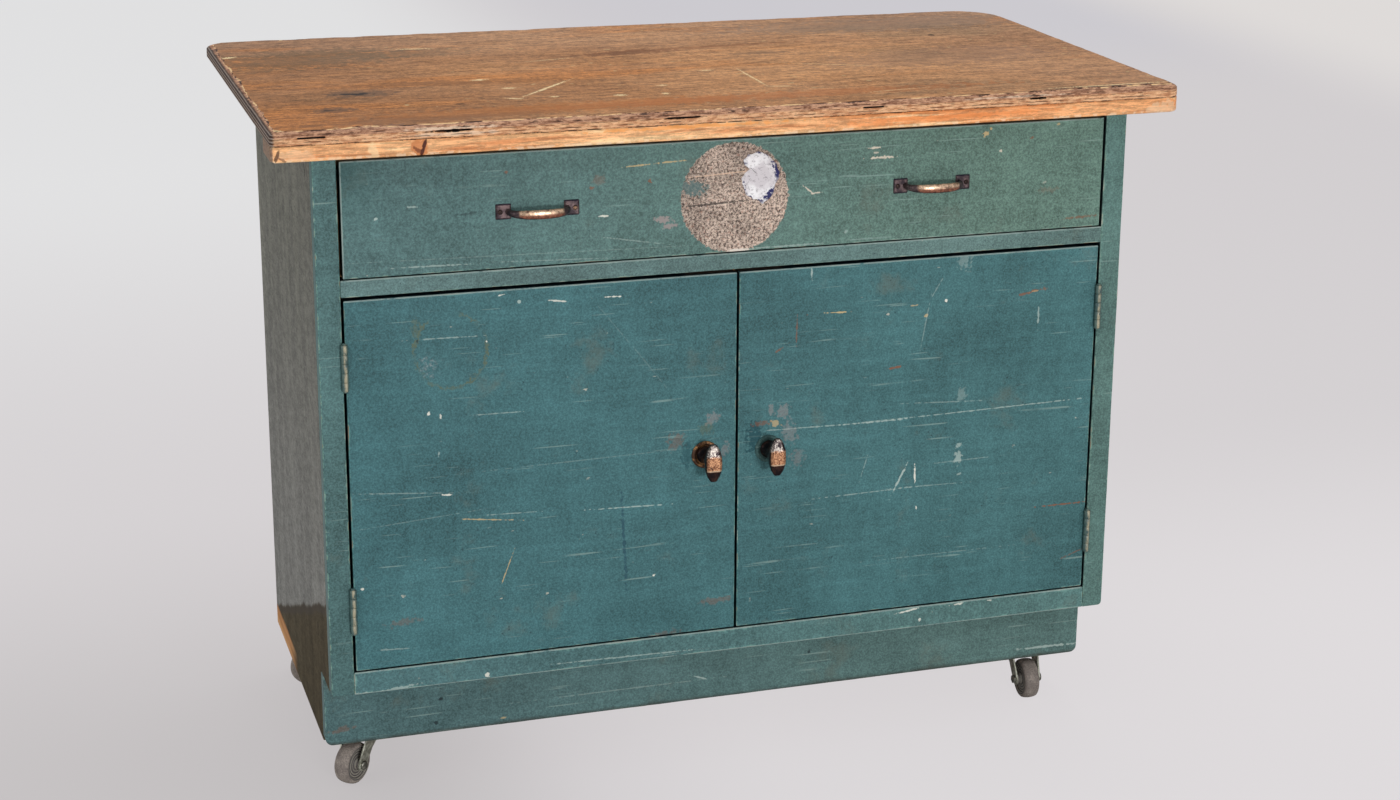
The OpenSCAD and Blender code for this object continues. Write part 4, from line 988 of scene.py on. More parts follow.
pine_bm = bmesh.new()
front_board = ((PINE_LOW[0], PINE_LOW[1]), (PINE_HIGH[0], PINE_LOW[1] + FRONT_BOARD_W))
sweep_slab(pine_bm, rounded_stations(*front_board, (*CORNER_RADII[:2], 3 * MM, 3 * MM), EDGE_STEP), pine_rows)
inside_board(pine_bm)
pine_layer = as_object("worktop_pine_layer", pine_bm)
ply_bm = bmesh.new()
sweep_slab(ply_bm, rounded_stations(PLY_LOW, PLY_HIGH, CORNER_RADII, EDGE_STEP), ply_rows)
ply_layer = as_object("worktop_plywood_layer", ply_bm)
print("worktop layers:", len(pine_layer.data.vertices), "and", len(ply_layer.data.vertices), "points")

# %% [markdown]
# ## Wood finishes
#
# Wood grain is a noise that is stretched along the board. Where the board is cut across, the same
# noise shows its short side, so one pattern gives both long grain and end grain. The top has
# darker and lighter areas, short dark pores, a few stains and straw-coloured scratches, each at
# its own place.

# %% The worktop's face
def veneer(f):
    """The colour of the worn face, and those of its patterns that later steps need."""
    wide = f.noise(3.0, detail=6, rough=0.65, stretch=(0.5, 1, 1), seed=81)
    colour = f.mix(f.fade(wide, 0.36, 0.64), tone(162, 112, 70), tone(196, 144, 98))
    colour = f.mix(f.fade(f.x, -0.12, -0.48, 0, 0.75), colour, tone(142, 96, 60))
    colour = f.mix(f.fade(f.x, 0.2, 0.5, 0, 0.5), colour, tone(158, 118, 90))
    colour = f.mix(f.fade(f.y, 0.0, 0.3, 0, 0.45), colour, tone(164, 132, 108))
    orange = f.noise(5, detail=4, rough=0.6, stretch=(0.4, 1.6, 1), seed=82)
    colour = f.mix(f.fade(orange, 0.52, 0.66, 0, 0.6), colour, tone(190, 120, 58))
    grey = f.noise(4.2, detail=6, rough=0.65, stretch=(0.6, 1.2, 1), seed=83)
    colour = f.mix(f.fade(grey, 0.54, 0.68, 0, 0.5), colour, tone(128, 108, 84))
    grain = f.noise(110, detail=5, rough=0.7, stretch=(0.1, 1, 1), turned=(0, 0, 0.012), seed=84, swirl=0.3)
    fibre = f.noise(190, detail=4, rough=0.8, stretch=(0.2, 1, 1), seed=85)
    dust = f.noise(170, detail=4, rough=0.9, stretch=(0.8, 0.8, 1), seed=93)
    colour = f.lit(colour, 1.01, (grain, 0.36, 0.64, 0.16), (fibre, 0.38, 0.62, 0.2), (dust, 0.38, 0.62, 0.28))
    pores = f.noise(230, detail=2, rough=0.6, stretch=(0.14, 1, 1), seed=86)
    patchy = f.noise(8, detail=3, seed=87)
    pores = f.times(f.fade(pores, 0.64, 0.7), f.fade(patchy, 0.42, 0.6))
    colour = f.lay(colour, pores, 0.65, tone(66, 44, 34))
    flecks = f.noise(120, detail=1, rough=0.5, stretch=(0.55, 1, 1), seed=88)
    flecks = f.times(f.fade(flecks, 0.725, 0.745), f.fade(patchy, 0.48, 0.58))
    colour = f.mix(flecks, colour, STRAW)
    rag = f.noise(90, detail=4, rough=0.65, seed=89)
    black, smoke, light = tone(46, 36, 32), tone(96, 76, 62), tone(240, 214, 164)
    colour = strokes(f, colour, rag, [
        (-440, 142, 120, 60, 8, tone(98, 82, 60), 0.55), (-419, -100, 40, 18, -8, smoke, 0.6),
        (-419, -101, 19, 6.0, -6, black, 0.95), (-458, -188, 26, 12, 0, smoke, 0.7),
        (-462, -188, 12, 4, 0, black, 0.7), (-330, 150, 90, 26, 0, tone(112, 94, 72), 0.45),
        (387, 110, 4.5, 4.0, 0, black, 1.0), (330, -40, 150, 60, 6, tone(140, 108, 88), 0.4),
        (350, 210, 200, 50, 0, tone(136, 116, 100), 0.5), (-200, -240, 240, 26, 2, tone(184, 112, 50), 0.5),
        (60, -235, 260, 18, 1, tone(180, 104, 50), 0.45), (-40, 86, 62, 13, 2, tone(110, 64, 34), 0.65),
        (60, 100, 120, 8, 3, tone(126, 74, 36), 0.45), (120, 40, 40, 10, 0, tone(112, 86, 62), 0.5),
        (467, -287, 82, 6, 0.6, tone(70, 56, 52), 0.85), (-300, -60, 120, 14, -4, tone(120, 82, 50), 0.5),
        (-370, -265, 130, 14, 2, tone(130, 88, 56), 0.5), (-541, -288, 15, 2.2, -62, black, 1.0),
        (-418, -288, 24, 7, 0, tone(104, 84, 74), 0.6)], "xy")
    fine = f.noise(400, detail=2, seed=90)
    colour = strokes(f, colour, fine, [
        (-196, -121, 49, 2.2, 49, light, 0.95), (-248, -174, 9, 2.4, -30, light, 0.9),
        (60, -120, 52, 1.4, 90, light, 0.8), (76, -182, 14, 1.6, -12, light, 0.7),
        (-296, 180, 19, 2.6, -8, light, 0.8), (-262, -50, 9, 4.0, 10, light, 0.9),
        (-240, -110, 8, 3.4, 0, light, 0.8), (-124, -186, 6, 4.5, 0, light, 0.8),
        (-532, 175, 9, 4, 20, light, 0.9), (-200, -175, 5, 3, 0, light, 0.8),
        (-70, -190, 4, 4, 0, light, 0.8), (20, -60, 8, 3.2, 0, light, 0.7), (-60, -140, 6, 3, 0, light, 0.7),
        (200, -240, 40, 1.4, 8, light, 0.5), (180, -60, 60, 1.2, -25, light, 0.45),
        (-534, -288, 9, 2, -50, light, 0.8),
        (467, -278, 78, 1.8, 1.2, light, 0.9), (-150, 60, 30, 1.6, 12, light, 0.5)], "xy")
    return colour, rag, grey, f.minus(grain, f.plus(pores, fibre))


print("veneer recipe ready")

# %% The plywood's edge
# Glue lines: height above the sheet's underside and half thickness, in millimetres, and strength
GLUE_LINES = ((0.25, 0.5, 0.95), (3.55, 0.35, 0.8), (7.6, 0.35, 0.7), (11.1, 0.4, 0.9))
EDGE_TOP, FACE_LOW = 14.8 * MM, 14.97 * MM  # The edge's colour changes to the face's between these heights


def ply_edge(f, rag):
    """The colour of the edge, and the height above the sheet's underside."""
    up = f.minus(f.z, PLY_LOW[2])
    along = f.noise(420, detail=4, rough=0.8, stretch=(0.22, 0.22, 1), seed=94)
    plies = f.mix(f.fade(along, 0.38, 0.62), tone(188, 130, 92), tone(244, 196, 152))
    plies = f.mix(f.fade(along, 0.6, 0.7, 0, 0.6), plies, tone(144, 90, 66))
    roll = f.mix(f.fade(along, 0.38, 0.62), tone(132, 90, 68), tone(208, 160, 128))
    edge = f.mix(f.fade(up, 7.8 * MM, 9.4 * MM), plies, roll)
    # Painted shade: the near-black strokes at the three open voids of the front edge stand for the dark inside them
    pale, void_shade = tone(244, 216, 188), tone(20, 12, 12)
    front = strokes(f, edge, rag, [
        (-346, 837.5, 44, 1.6, 0, pale, 0.7), (-340, 831, 50, 1.6, 0, pale, 0.6), (330, 838, 60, 1.0, 0, pale, 0.6),
        (-346, 834.6, 20, 1.5, 0, void_shade, 1.0), (-82, 834.6, 20, 1.1, 0, void_shade, 0.9),
        (358, 834.6, 11, 1.5, 0, void_shade, 1.0)])
    edge = f.mix(f.fade(f.y, 0.0, -0.1), edge, front)
    spots = f.noise(260, detail=3, rough=0.65, stretch=(0.22, 0.22, 0.8), seed=92)
    edge = f.mix(f.times(f.fade(spots, 0.6, 0.66), f.fade(up, 8 * MM, 12 * MM, 0.3, 0.8)), edge,
                 tone(64, 44, 38))
    for line, half, strength in GLUE_LINES:
        near = f.math("ABSOLUTE", f.minus(up, line * MM))
        dark = f.times(f.fade(near, (half + 0.25) * MM, half * 0.5 * MM), f.fade(spots, 0.47, 0.56))
        edge = f.lay(edge, dark, strength, tone(52, 30, 28))
    # Painted shade: faces set back more than about 2 mm into the front edge, inside its voids, are painted near-black
    recess_shade = f.times(f.fade(f.y, PLY_LOW[1] + 1.9 * MM, PLY_LOW[1] + 2.4 * MM), f.fade(up, 12.6 * MM, 12.2 * MM))
    recess_shade = f.times(recess_shade, f.fade(f.math("ABSOLUTE", f.x), 532 * MM, 530 * MM))
    edge = f.mix(f.times(recess_shade, f.fade(f.y, 0.0, -0.1)), edge, tone(16, 8, 8))
    # The left end has weathered grey, with its plies as dark and pale bands
    weathered = f.fade(f.x, -541 * MM, -544.5 * MM)
    bands = f.math("SINE", f.times(up, math.tau / (3.9 * MM)))
    old = f.mix(f.fade(bands, -0.2, 0.5), tone(44, 38, 38), tone(138, 128, 120))
    old = f.mix(f.fade(up, 12.2 * MM, 13.0 * MM), old, tone(26, 22, 24))
    edge = f.lay(edge, weathered, 0.9, old)
    step = f.times(f.fade(up, 13.95 * MM, 14.1 * MM), f.fade(up, FACE_LOW, EDGE_TOP))
    edge = f.mix(f.times(step, f.fade(spots, 0.52, 0.58)), edge, tone(60, 40, 34))
    edge = f.mix(f.times(step, f.fade(spots, 0.5, 0.42)), edge, tone(236, 200, 150))
    return edge, up


def top_finish():
    f = Finish("worktop face", specular=0.12)
    colour, rag, grey, relief = veneer(f)
    edge, up = ply_edge(f, rag)
    colour = f.mix(f.fade(up, FACE_LOW, EDGE_TOP), colour, edge)
    under = f.fade(up, 0.06 * MM, 0.02 * MM)
    colour = f.mix(under, colour, tone(150, 116, 84))
    f.bump(relief, 0.25 * MM, 0.8)
    return f.done(colour, f.fade(grey, 0.35, 0.7, 0.5, 0.66))


print("edge recipe ready")

# %% The pine layer
def pine_finish():
    f = Finish("pine", specular=0.2)
    wide = f.noise(7, detail=3, stretch=(0.4, 1, 2), seed=101)
    colour = f.mix(f.fade(wide, 0.35, 0.65), tone(234, 152, 94), tone(250, 194, 140))
    rings = f.noise(150, detail=3, rough=0.5, stretch=(0.05, 1, 1), seed=102, swirl=0.4)
    colour = f.mix(f.fade(rings, 0.54, 0.64, 0, 0.6), colour, tone(198, 112, 58))
    colour = f.mix(f.fade(rings, 0.44, 0.34, 0, 0.6), colour, tone(255, 222, 170))
    fibre = f.noise(330, detail=4, rough=0.8, stretch=(0.12, 1, 1), seed=103)
    fine = f.noise(380, detail=3, rough=0.8, seed=105)
    colour = f.lit(colour, 0.93, (fibre, 0.4, 0.6, 0.24), (fine, 0.4, 0.6, 0.05))
    rag = f.noise(130, detail=3, seed=104)
    colour = strokes(f, colour, rag, [
        (-384, 817, 13, 9, -60, tone(206, 126, 74), 0.8), (-379, 818, 1.6, 9, -18, tone(70, 30, 24), 0.95),
        (-386, 815, 4.0, 2.0, -40, tone(96, 44, 30), 0.7), (-436, 817, 5, 8, 24, tone(255, 226, 176), 0.5),
        (-70, 824, 90, 2, 0, tone(255, 166, 84), 0.6), (250, 818, 120, 3, 1, tone(246, 150, 82), 0.5),
        (524, 815, 20, 9, 0, tone(238, 208, 172), 0.45), (-520, 816, 16, 6, 0, tone(246, 206, 166), 0.4),
        (-540, 816, 1.4, 9, -20, tone(60, 30, 24), 0.8), (-534, 812, 5, 1.2, -30, tone(80, 42, 30), 0.6)])
    up = f.minus(f.z, PINE_LOW[2])
    chips = f.times(f.fade(up, 5.5 * MM, 1.2 * MM), f.fade(rag, 0.5, 0.58))
    colour = f.lay(colour, chips, 0.6, tone(255, 226, 190))
    under = f.fade(up, 0.25 * MM, 0.05 * MM)
    colour = f.mix(under, colour, f.mix(f.fade(rings, 0.4, 0.6), tone(150, 112, 76), tone(180, 138, 98)))
    weathered = f.fade(f.x, -543 * MM, -545.3 * MM)
    grey = f.mix(f.fade(fibre, 0.35, 0.65), tone(84, 76, 70), tone(132, 118, 106))
    colour = f.lay(colour, weathered, 0.85, grey)
    thickness = PINE_HIGH[2] - PINE_LOW[2]
    joint = f.fade(up, thickness - 0.9 * MM, thickness - 0.4 * MM)
    colour = f.mix(f.times(joint, f.fade(rag, 0.46, 0.56)), colour, tone(52, 34, 28))
    f.bump(f.plus(rings, fibre), 0.18 * MM, 0.8)
    return f.done(colour, f.fade(wide, 0.35, 0.65, 0.5, 0.62))


place(pine_layer, "carcass", "pine", pine_finish(), "worktop_core")
place(ply_layer, "carcass", "worktop_face", top_finish(), "worktop_ply")

# %% [markdown]
# ## Unpainted wood inside
#
# The drawer box, the shelf, the back and the battens are bare. The solids of all but the back have the
# right shapes already, so they stay, and only get a finish; the back is made again further on. Long boards
# run along different axes, so the grain's stretch follows each board's longest side.

# %% Finishes for the wooden solids
def raw_finish(name, box, light, dark, seed, plies=False):
    low, high = box
    size = [h - l for l, h in zip(low, high)]
    longest = size.index(max(size))
    f = Finish(name, specular=0.3)
    stretch = [1.0, 1.0, 1.0]
    stretch[longest] = 0.06
    wide = f.noise(4, detail=4, seed=seed)
    grain = f.noise(70, detail=5, rough=0.6, stretch=stretch, seed=seed + 1, swirl=0.5)
    colour = f.mix(f.fade(grain, 0.36, 0.66), tone(*light), tone(*dark))
    colour = f.mix(f.fade(wide, 0.4, 0.75, 0, 0.5), colour, shade(dark, 0.85, -4))
    fibre = f.noise(500, detail=2, rough=0.7, stretch=stretch, seed=seed + 2)
    colour = f.mix(f.fade(fibre, 0.5, 0.75, 0, 0.4), colour, shade(dark, 0.7))
    if plies:
        thinnest = size.index(min(size))
        across = (f.x, f.y, f.z)[thinnest]
        band = f.math("SINE", f.times(across, 2 * math.pi / (2.6 * MM)))
        near = f.edge_distance(low, high)
        colour = f.mix(f.times(f.fade(band, 0.1, 0.5, 0, 0.5), f.fade(near, 1.5 * MM, 0.2 * MM)),
                       colour, shade(dark, 0.6))
    f.bump(f.plus(grain, fibre), 0.2 * MM, 0.6)
    return f.done(colour, f.fade(grain, 0.3, 0.7, 0.55, 0.7))


def finish_solid(node, finish):
    """A solid of the frame that keeps its shape gets a finish."""
    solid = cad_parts[node]
    solid.data.materials.clear()
    solid.data.materials.append(finish)
    print("finish on", node)


PINE_TONES = ((196, 160, 112), (164, 122, 80))
PLY_TONES = ((188, 154, 108), (156, 120, 80))
for count, (nodes, tones, plies) in enumerate((
        (("rear_plinth", "shelf_cleats", "top_stretchers", "drawer_runners", "drawer_guides", "drawer_kickers",
          "door_stop", "caster_boards", "drawer_sides", "drawer_back"), PINE_TONES, False),
        (("bottom_panel", "shelf", "drawer_bottom"), PLY_TONES, True))):
    for k, node in enumerate(nodes):
        seed = 111 + 7 * count + 3.1 * k
        finish_solid(node, raw_finish(node + " wood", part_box(node), *tones, seed, plies))

# %% [markdown]
# ## Screws and nails
#
# Screws come in sets, all alike but for the angle at which each slot stopped. A modelled copy of
# each one by hand would do, but Geometry Nodes place a whole set from a few points: each point
# knows which way its screw faces, and a seeded random value turns the slot.

# %% The tree that sets screws on points
def new_tree(name, **inputs):
    """An empty Geometry Nodes tree and the identifiers of its named inputs."""
    tree = bpy.data.node_groups.new(name, "GeometryNodeTree")
    sockets = {label: tree.interface.new_socket(label, in_out="INPUT", socket_type="NodeSocket" + kind).identifier
               for label, kind in inputs.items()}
    tree.interface.new_socket("Result", in_out="OUTPUT", socket_type="NodeSocketGeometry")
    return tree, sockets


def run_tree(piece, tree, sockets, **inputs):
    """Runs a tree on a piece, with its inputs set by identifier, and leaves a plain mesh."""
    modifier = piece.modifiers.new(tree.name, "NODES")
    modifier.node_group = tree
    for label, value in inputs.items():
        modifier[sockets[label]] = value
    return plain_mesh(piece)


def setting_tree():
    """Puts one part on every point, facing the point's own direction and turned at random."""
    tree, sockets = new_tree("set parts on points", Points="Geometry", Part="Object", Material="Material",
                             Size="Float", Seed="Int")
    new, link = tree.nodes.new, tree.links.new
    given, result = new("NodeGroupInput"), new("NodeGroupOutput")
    facing = new("GeometryNodeInputNamedAttribute")
    facing.data_type = "FLOAT_VECTOR"
    facing.inputs["Name"].default_value = "facing"
    aim = new("FunctionNodeAlignRotationToVector")
    aim.axis = "Z"
    link(facing.outputs["Attribute"], aim.inputs["Vector"])
    chance = new("FunctionNodeRandomValue")
    chance.inputs[3].default_value = math.tau
    link(given.outputs["Seed"], chance.inputs["Seed"])
    spin = new("FunctionNodeAxisAngleToRotation")
    spin.inputs["Axis"].default_value = (0, 0, 1)
    link(chance.outputs[1], spin.inputs["Angle"])
    turned = new("FunctionNodeRotateRotation")
    turned.rotation_space = "LOCAL"
    link(aim.outputs[0], turned.inputs[0])
    link(spin.outputs[0], turned.inputs[1])
    part = new("GeometryNodeObjectInfo")
    link(given.outputs["Part"], part.inputs["Object"])
    copies = new("GeometryNodeInstanceOnPoints")
    link(given.outputs["Points"], copies.inputs["Points"])
    link(part.outputs["Geometry"], copies.inputs["Instance"])
    link(turned.outputs[0], copies.inputs["Rotation"])
    link(given.outputs["Size"], copies.inputs["Scale"])
    real, paint_it = new("GeometryNodeRealizeInstances"), new("GeometryNodeSetMaterial")
    link(copies.outputs[0], real.inputs[0])
    link(real.outputs[0], paint_it.inputs[0])
    link(given.outputs["Material"], paint_it.inputs["Material"])
    link(paint_it.outputs[0], result.inputs[0])
    return tree, sockets


SETTING_TREE, SETTING_SOCKETS = setting_tree()


def set_parts(name, places, part, finish, seed, size=1.0):
    """One plain mesh of the part at every (point, direction)."""
    mesh = bpy.data.meshes.new(name)
    mesh.from_pydata([p for p, _ in places], [], [])
    facing = mesh.attributes.new("facing", "FLOAT_VECTOR", "POINT")
    for item, (_, direction) in zip(facing.data, places):
        item.vector = direction
    piece = into_scene(name, mesh)
    return run_tree(piece, SETTING_TREE, SETTING_SOCKETS, Part=part, Material=finish, Size=size, Seed=seed)


print("setting tree:", len(SETTING_TREE.nodes), "nodes")

# %% [markdown]
# ## Turned shapes
#
# Screw heads, knobs, rosettes, hinge barrels and wheels are all turned shapes: a profile that goes
# round an axis. Blender's Spin tool and Screw modifier both make them. Writing the rings directly
# keeps the poles closed and needs no merging afterwards.

# %% Turning helper
def turned_shape(bm, profile, steps=32, matrix=None):
    """Adds a shape turned round Z, from (radius, height) points in millimetres. Radius 0 closes it."""
    matrix = matrix or Matrix()
    rings = []
    for radius, height in profile:
        turns = [math.tau * k / steps for k in range(steps if radius else 1)]
        rings.append([bm.verts.new(matrix @ Vector((radius * MM * math.cos(t), radius * MM * math.sin(t),
                                                    height * MM))) for t in turns])
    made = []
    for a, b in zip(rings, rings[1:]):
        for k in range(steps):
            j = (k + 1) % steps
            corners = [a[k], a[j], b[j], b[k]] if len(a) > 1 and len(b) > 1 else (
                [a[0], b[j], b[k]] if len(b) > 1 else [a[k], a[j], b[0]])
            made.append(bm.faces.new(corners))
            made[-1].smooth = True
    return made


def slotted_head(name, radius, rise, slot, depth, dome=True):
    """A screw head, in millimetres, that faces +Z with its rim at height 0. Its slot is really cut."""
    top = rise if dome else 0.3 * rise
    shoulder = [(radius * math.cos(t), rise * (0.15 + 0.85 * math.sin(t))) for t in (0.35, 0.75, 1.15)]
    bm = bmesh.new()
    turned_shape(bm, [(0, -0.6 * rise), (radius, -0.6 * rise), (radius, 0.15 * rise),
                      *(shoulder if dome else [(radius * 0.97, top)]), (0, top)], 24)
    head = as_object(name, bm, outward=True)
    cutter_bm = bmesh.new()
    add_block(cutter_bm, (0, 0, rise * MM), (radius * 2.4 * MM, slot * MM, 2 * depth * MM))
    cutter = as_object(name + "_cutter", cutter_bm)
    cut = head.modifiers.new("slot", "BOOLEAN")
    cut.operation, cut.object, cut.solver = "DIFFERENCE", cutter, "EXACT"
    plain_mesh(head)
    bpy.data.objects.remove(cutter)
    return head


def metal_finish(name, base, rub, seed, rough=(0.32, 0.5), metallic=0.85, rub_at=(0.48, 0.62), pitch=90):
    """Aged metal: a dark coat that is rubbed away in patches, with fine scratches."""
    f = Finish(name, metallic=metallic)
    coat = f.noise(pitch, detail=5, rough=0.65, seed=seed)
    fine = f.noise(900, detail=2, rough=0.7, seed=seed + 1)
    colour = f.mix(f.fade(coat, *rub_at), tone(*base), tone(*rub))
    colour = f.mix(f.fade(fine, 0.45, 0.75, 0, 0.5), colour, shade(base, 0.7))
    f.bump(f.plus(coat, f.times(fine, 0.3)), 0.12 * MM, 0.6)
    return f.done(colour, f.fade(coat, 0.35, 0.65, rough[1], rough[0]))


domed_head = slotted_head("domed_head", 3, 1.6, 0.8, 0.9)
flat_head = slotted_head("flat_head", 2.7, 0.6, 0.6, 0.5, dome=False)
nail_head = slotted_head("nail_head", 2.2, 0.5, 0.01, 0.01)
print("screw heads:", [len(o.data.polygons) for o in (domed_head, flat_head, nail_head)])

# %% [markdown]
# ## The drawer pulls
#
# A cast pull has two square feet and a bow that swells in its middle. Hands have kept the front
# of the bow bright, while the feet and the underside stayed dark. The bow's upper half is also
# painted paler, as a highlight, and a painted navy shade lines the feet's upper and lower edges.
# The bow is lofted: rings of an oval section follow a curve, which gives the swelling and the
# turn into the feet in one go. The feet are bevelled plates.

# %% A skin between rings
def skin(bm, rings, smooth=True):
    """Joins rings of points into a closed shape and returns its faces."""
    faces = []
    for a, b in zip(rings, rings[1:]):
        for k in range(len(a)):
            j = (k + 1) % len(a)
            faces.append(bm.faces.new((a[k], a[j], b[j], b[k])))
            faces[-1].smooth = smooth
    return faces + [bm.faces.new(rings[-1]), bm.faces.new(rings[0][::-1])]


print("skin helper ready")

# %% Pull shapes
PULL_SPAN = 484 * MM
PULL_L = 98 * MM
FOOT = 18 * MM
FOOT_T, FOOT_CORNER = 2.2 * MM, 1.2 * MM
BOW_OUT = 25 * MM
BOW_T = 5.4 * MM
BOW_END_H, BOW_MIDDLE_H = 7 * MM, 11 * MM
# Powers below 1 make the bow's path and its section a little squarer than an ellipse
PATH_POWER_X, PATH_POWER_Y, SECTION_POWER = 0.85, 0.75, 0.85
DRAWER_FACE_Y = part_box("drawer_front")[0][1]
PULL_Z = sum(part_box("pull_left")[k][2] for k in (0, 1)) / 2


def bow_path(t):
    """A point on the bow's middle line, for t from 0 to 1: x along the drawer, y out of it."""
    angle = math.pi * t
    half = PULL_L / 2 - FOOT + BOW_T / 2 + 1 * MM
    c, s = math.cos(angle), math.sin(angle)
    return Vector((-half * math.copysign(abs(c) ** PATH_POWER_X, c),
                   -BOW_OUT * s ** PATH_POWER_Y if s > 0 else 0.0))


def add_bow(bm, centre_x, stations=49, sides=20):
    rings = []
    for i in range(stations):
        t = min(0.997, max(0.003, i / (stations - 1)))
        here = bow_path(t)
        along = (bow_path(min(1, t + 0.008)) - bow_path(max(0, t - 0.008))).normalized()
        across = Vector((along.y, -along.x))
        swell = math.sin(math.pi * t) ** 1.5
        high = (BOW_END_H + (BOW_MIDDLE_H - BOW_END_H) * swell) / 2
        thick = BOW_T / 2 * (1.08 - 0.12 * swell)
        ring = []
        for k in range(sides):
            q = math.tau * k / sides
            round_c = math.copysign(abs(math.cos(q)) ** SECTION_POWER, math.cos(q))
            spot = here + across * thick * round_c
            y = min(DRAWER_FACE_Y + spot.y - FOOT_T / 2, DRAWER_FACE_Y - FOOT_T / 3)
            ring.append(bm.verts.new((centre_x + spot.x, y, PULL_Z + high * math.sin(q))))
        rings.append(ring)
    skin(bm, rings)


def add_foot(bm, centre_x):
    """A square plate whose face steps down to a thin worn rim."""
    layers = ((FOOT / 2, 0.0), (FOOT / 2, 0.9 * MM), (FOOT / 2 - 0.4 * MM, 1.4 * MM),
              (FOOT / 2 - 1.6 * MM, FOOT_T - 0.15 * MM), (FOOT / 2 - 2.2 * MM, FOOT_T))
    rings = []
    for half, rise in layers:
        points = rounded(half, half, max(0.3 * MM, FOOT_CORNER - (FOOT / 2 - half) * 0.4), 3)
        rings.append([bm.verts.new((centre_x + a, DRAWER_FACE_Y - rise, PULL_Z + b)) for a, b in points])
    skin(bm, rings)


print("pulls:", round(PULL_L / MM), "mm long,", round(PULL_SPAN / MM), "mm apart")

# %% Bronze finish and the two pulls
def pull_finish(name, centre_x, seed):
    f = Finish(name, metallic=0.7)
    coat = f.noise(110, detail=5, rough=0.7, seed=seed)
    fine = f.noise(800, detail=2, rough=0.7, seed=seed + 1)
    dark = f.mix(f.fade(coat, 0.4, 0.65), tone(52, 42, 48), tone(108, 90, 90))
    # Painted shade: a dark navy band along the upper and lower edges of the feet
    rim = f.fade(f.math("ABSOLUTE", f.minus(f.z, PULL_Z)), 7.2 * MM, 8.4 * MM)
    dark = f.lay(dark, rim, 0.7, tone(30, 34, 60))
    # The bow's upper half is paler than its lower half: partly rubbed by hands, partly a painted highlight
    bright = f.mix(f.fade(f.z, PULL_Z - 1.5 * MM, PULL_Z + 1.5 * MM), tone(148, 94, 74), tone(226, 192, 162))
    bright = f.mix(f.fade(coat, 0.52, 0.66), bright, tone(112, 80, 70))
    bright = f.lit(bright, 0.95, (f.noise(300, detail=3, rough=0.8, seed=seed + 2), 0.4, 0.6, 0.3))
    from_middle = f.math("ABSOLUTE", f.minus(f.x, centre_x))
    out = f.minus(DRAWER_FACE_Y, f.y)
    held = f.times(f.fade(from_middle, 34 * MM, 16 * MM), f.fade(out, 15 * MM, 24 * MM))
    held = f.times(held, f.fade(f.z, PULL_Z - 5 * MM, PULL_Z - 1.5 * MM, 0.35, 1.0))
    rag = f.times(f.minus(coat, 0.5), 0.9)
    held = f.fade(f.plus(held, rag), 0.25, 0.62)
    colour = f.mix(held, dark, bright)
    colour = f.mix(f.fade(fine, 0.5, 0.78, 0, 0.5), colour, tone(60, 44, 38))
    f.bump(f.plus(coat, f.times(fine, 0.4)), 0.15 * MM, 0.6)
    return f.done(colour, f.blend(held, 0.48, 0.36))


bronze_screw = metal_finish("bronze screw", (58, 46, 44), (150, 118, 96), 131)
for side, way in SIDES:
    middle = way * PULL_SPAN / 2
    bm = bmesh.new()
    add_bow(bm, middle)
    for end in (-1, 1):
        add_foot(bm, middle + end * (PULL_L / 2 - FOOT / 2))
    pull_piece = as_object("pull_" + side + "_casting", bm, outward=True)
    place(pull_piece, "drawer", "pull_metal", pull_finish("pull " + side, middle, 133 + way), "pull_" + side)

SCREW_X = PULL_L / 2 - 5 * MM
pull_places = [((way * PULL_SPAN / 2 + end * SCREW_X, DRAWER_FACE_Y - FOOT_T, PULL_Z), (0, -1, 0))
               for way in (-1, 1) for end in (-1, 1)]
pull_screws = set_parts("pull_screw_heads", pull_places, domed_head, bronze_screw, 5)
place(pull_screws, "drawer", "knob_metal", bronze_screw, "pull_screws")

# %% [markdown]
# ## The torn remnant
#
# Something round was stuck on the drawer and torn away. A pale scrap of its fibrous backing is left on
# the bare patch, with a blue-grey rim. It could be painted on like the patch, but it has a real
# thickness and lifts a little from the wood. So it is a thin sheet with a ragged border.

# %% Torn remnant
def torn_sheet(name, outline, lift, seed, jag=1.2 * MM):
    """A thin sheet on the drawer's face with a ragged border."""
    points = []
    for a, b in zip(outline, outline[1:] + outline[:1]):
        a, b = Vector(a) * MM, Vector(b) * MM
        count = max(2, int((b - a).length / (1.6 * MM)))
        for k in range(count):
            spot = a.lerp(b, k / count)
            away = Vector((b.y - a.y, a.x - b.x)).normalized()
            points.append(spot + away * jag * noise.noise(Vector((spot.x * 240, spot.y * 240, seed))))
    bm = bmesh.new()
    rings = []
    middle = sum(points, Vector((0, 0))) / len(points)
    for shrink, rise in ((1.0, 0.0), (0.985, lift), (0.8, lift * 0.8), (0.4, lift * 0.9)):
        rings.append([bm.verts.new((middle.x + (p.x - middle.x) * shrink,
                                    DRAWER_FACE_Y + 0.05 * MM - rise * (1 + 0.3 * noise.noise(
                                        Vector((p.x * 90, p.y * 90, seed + rise * 900)))),
                                    middle.y + (p.y - middle.y) * shrink)) for p in points])
    skin(bm, rings)
    return as_object(name, bm, outward=True)


print("torn sheet helper ready")

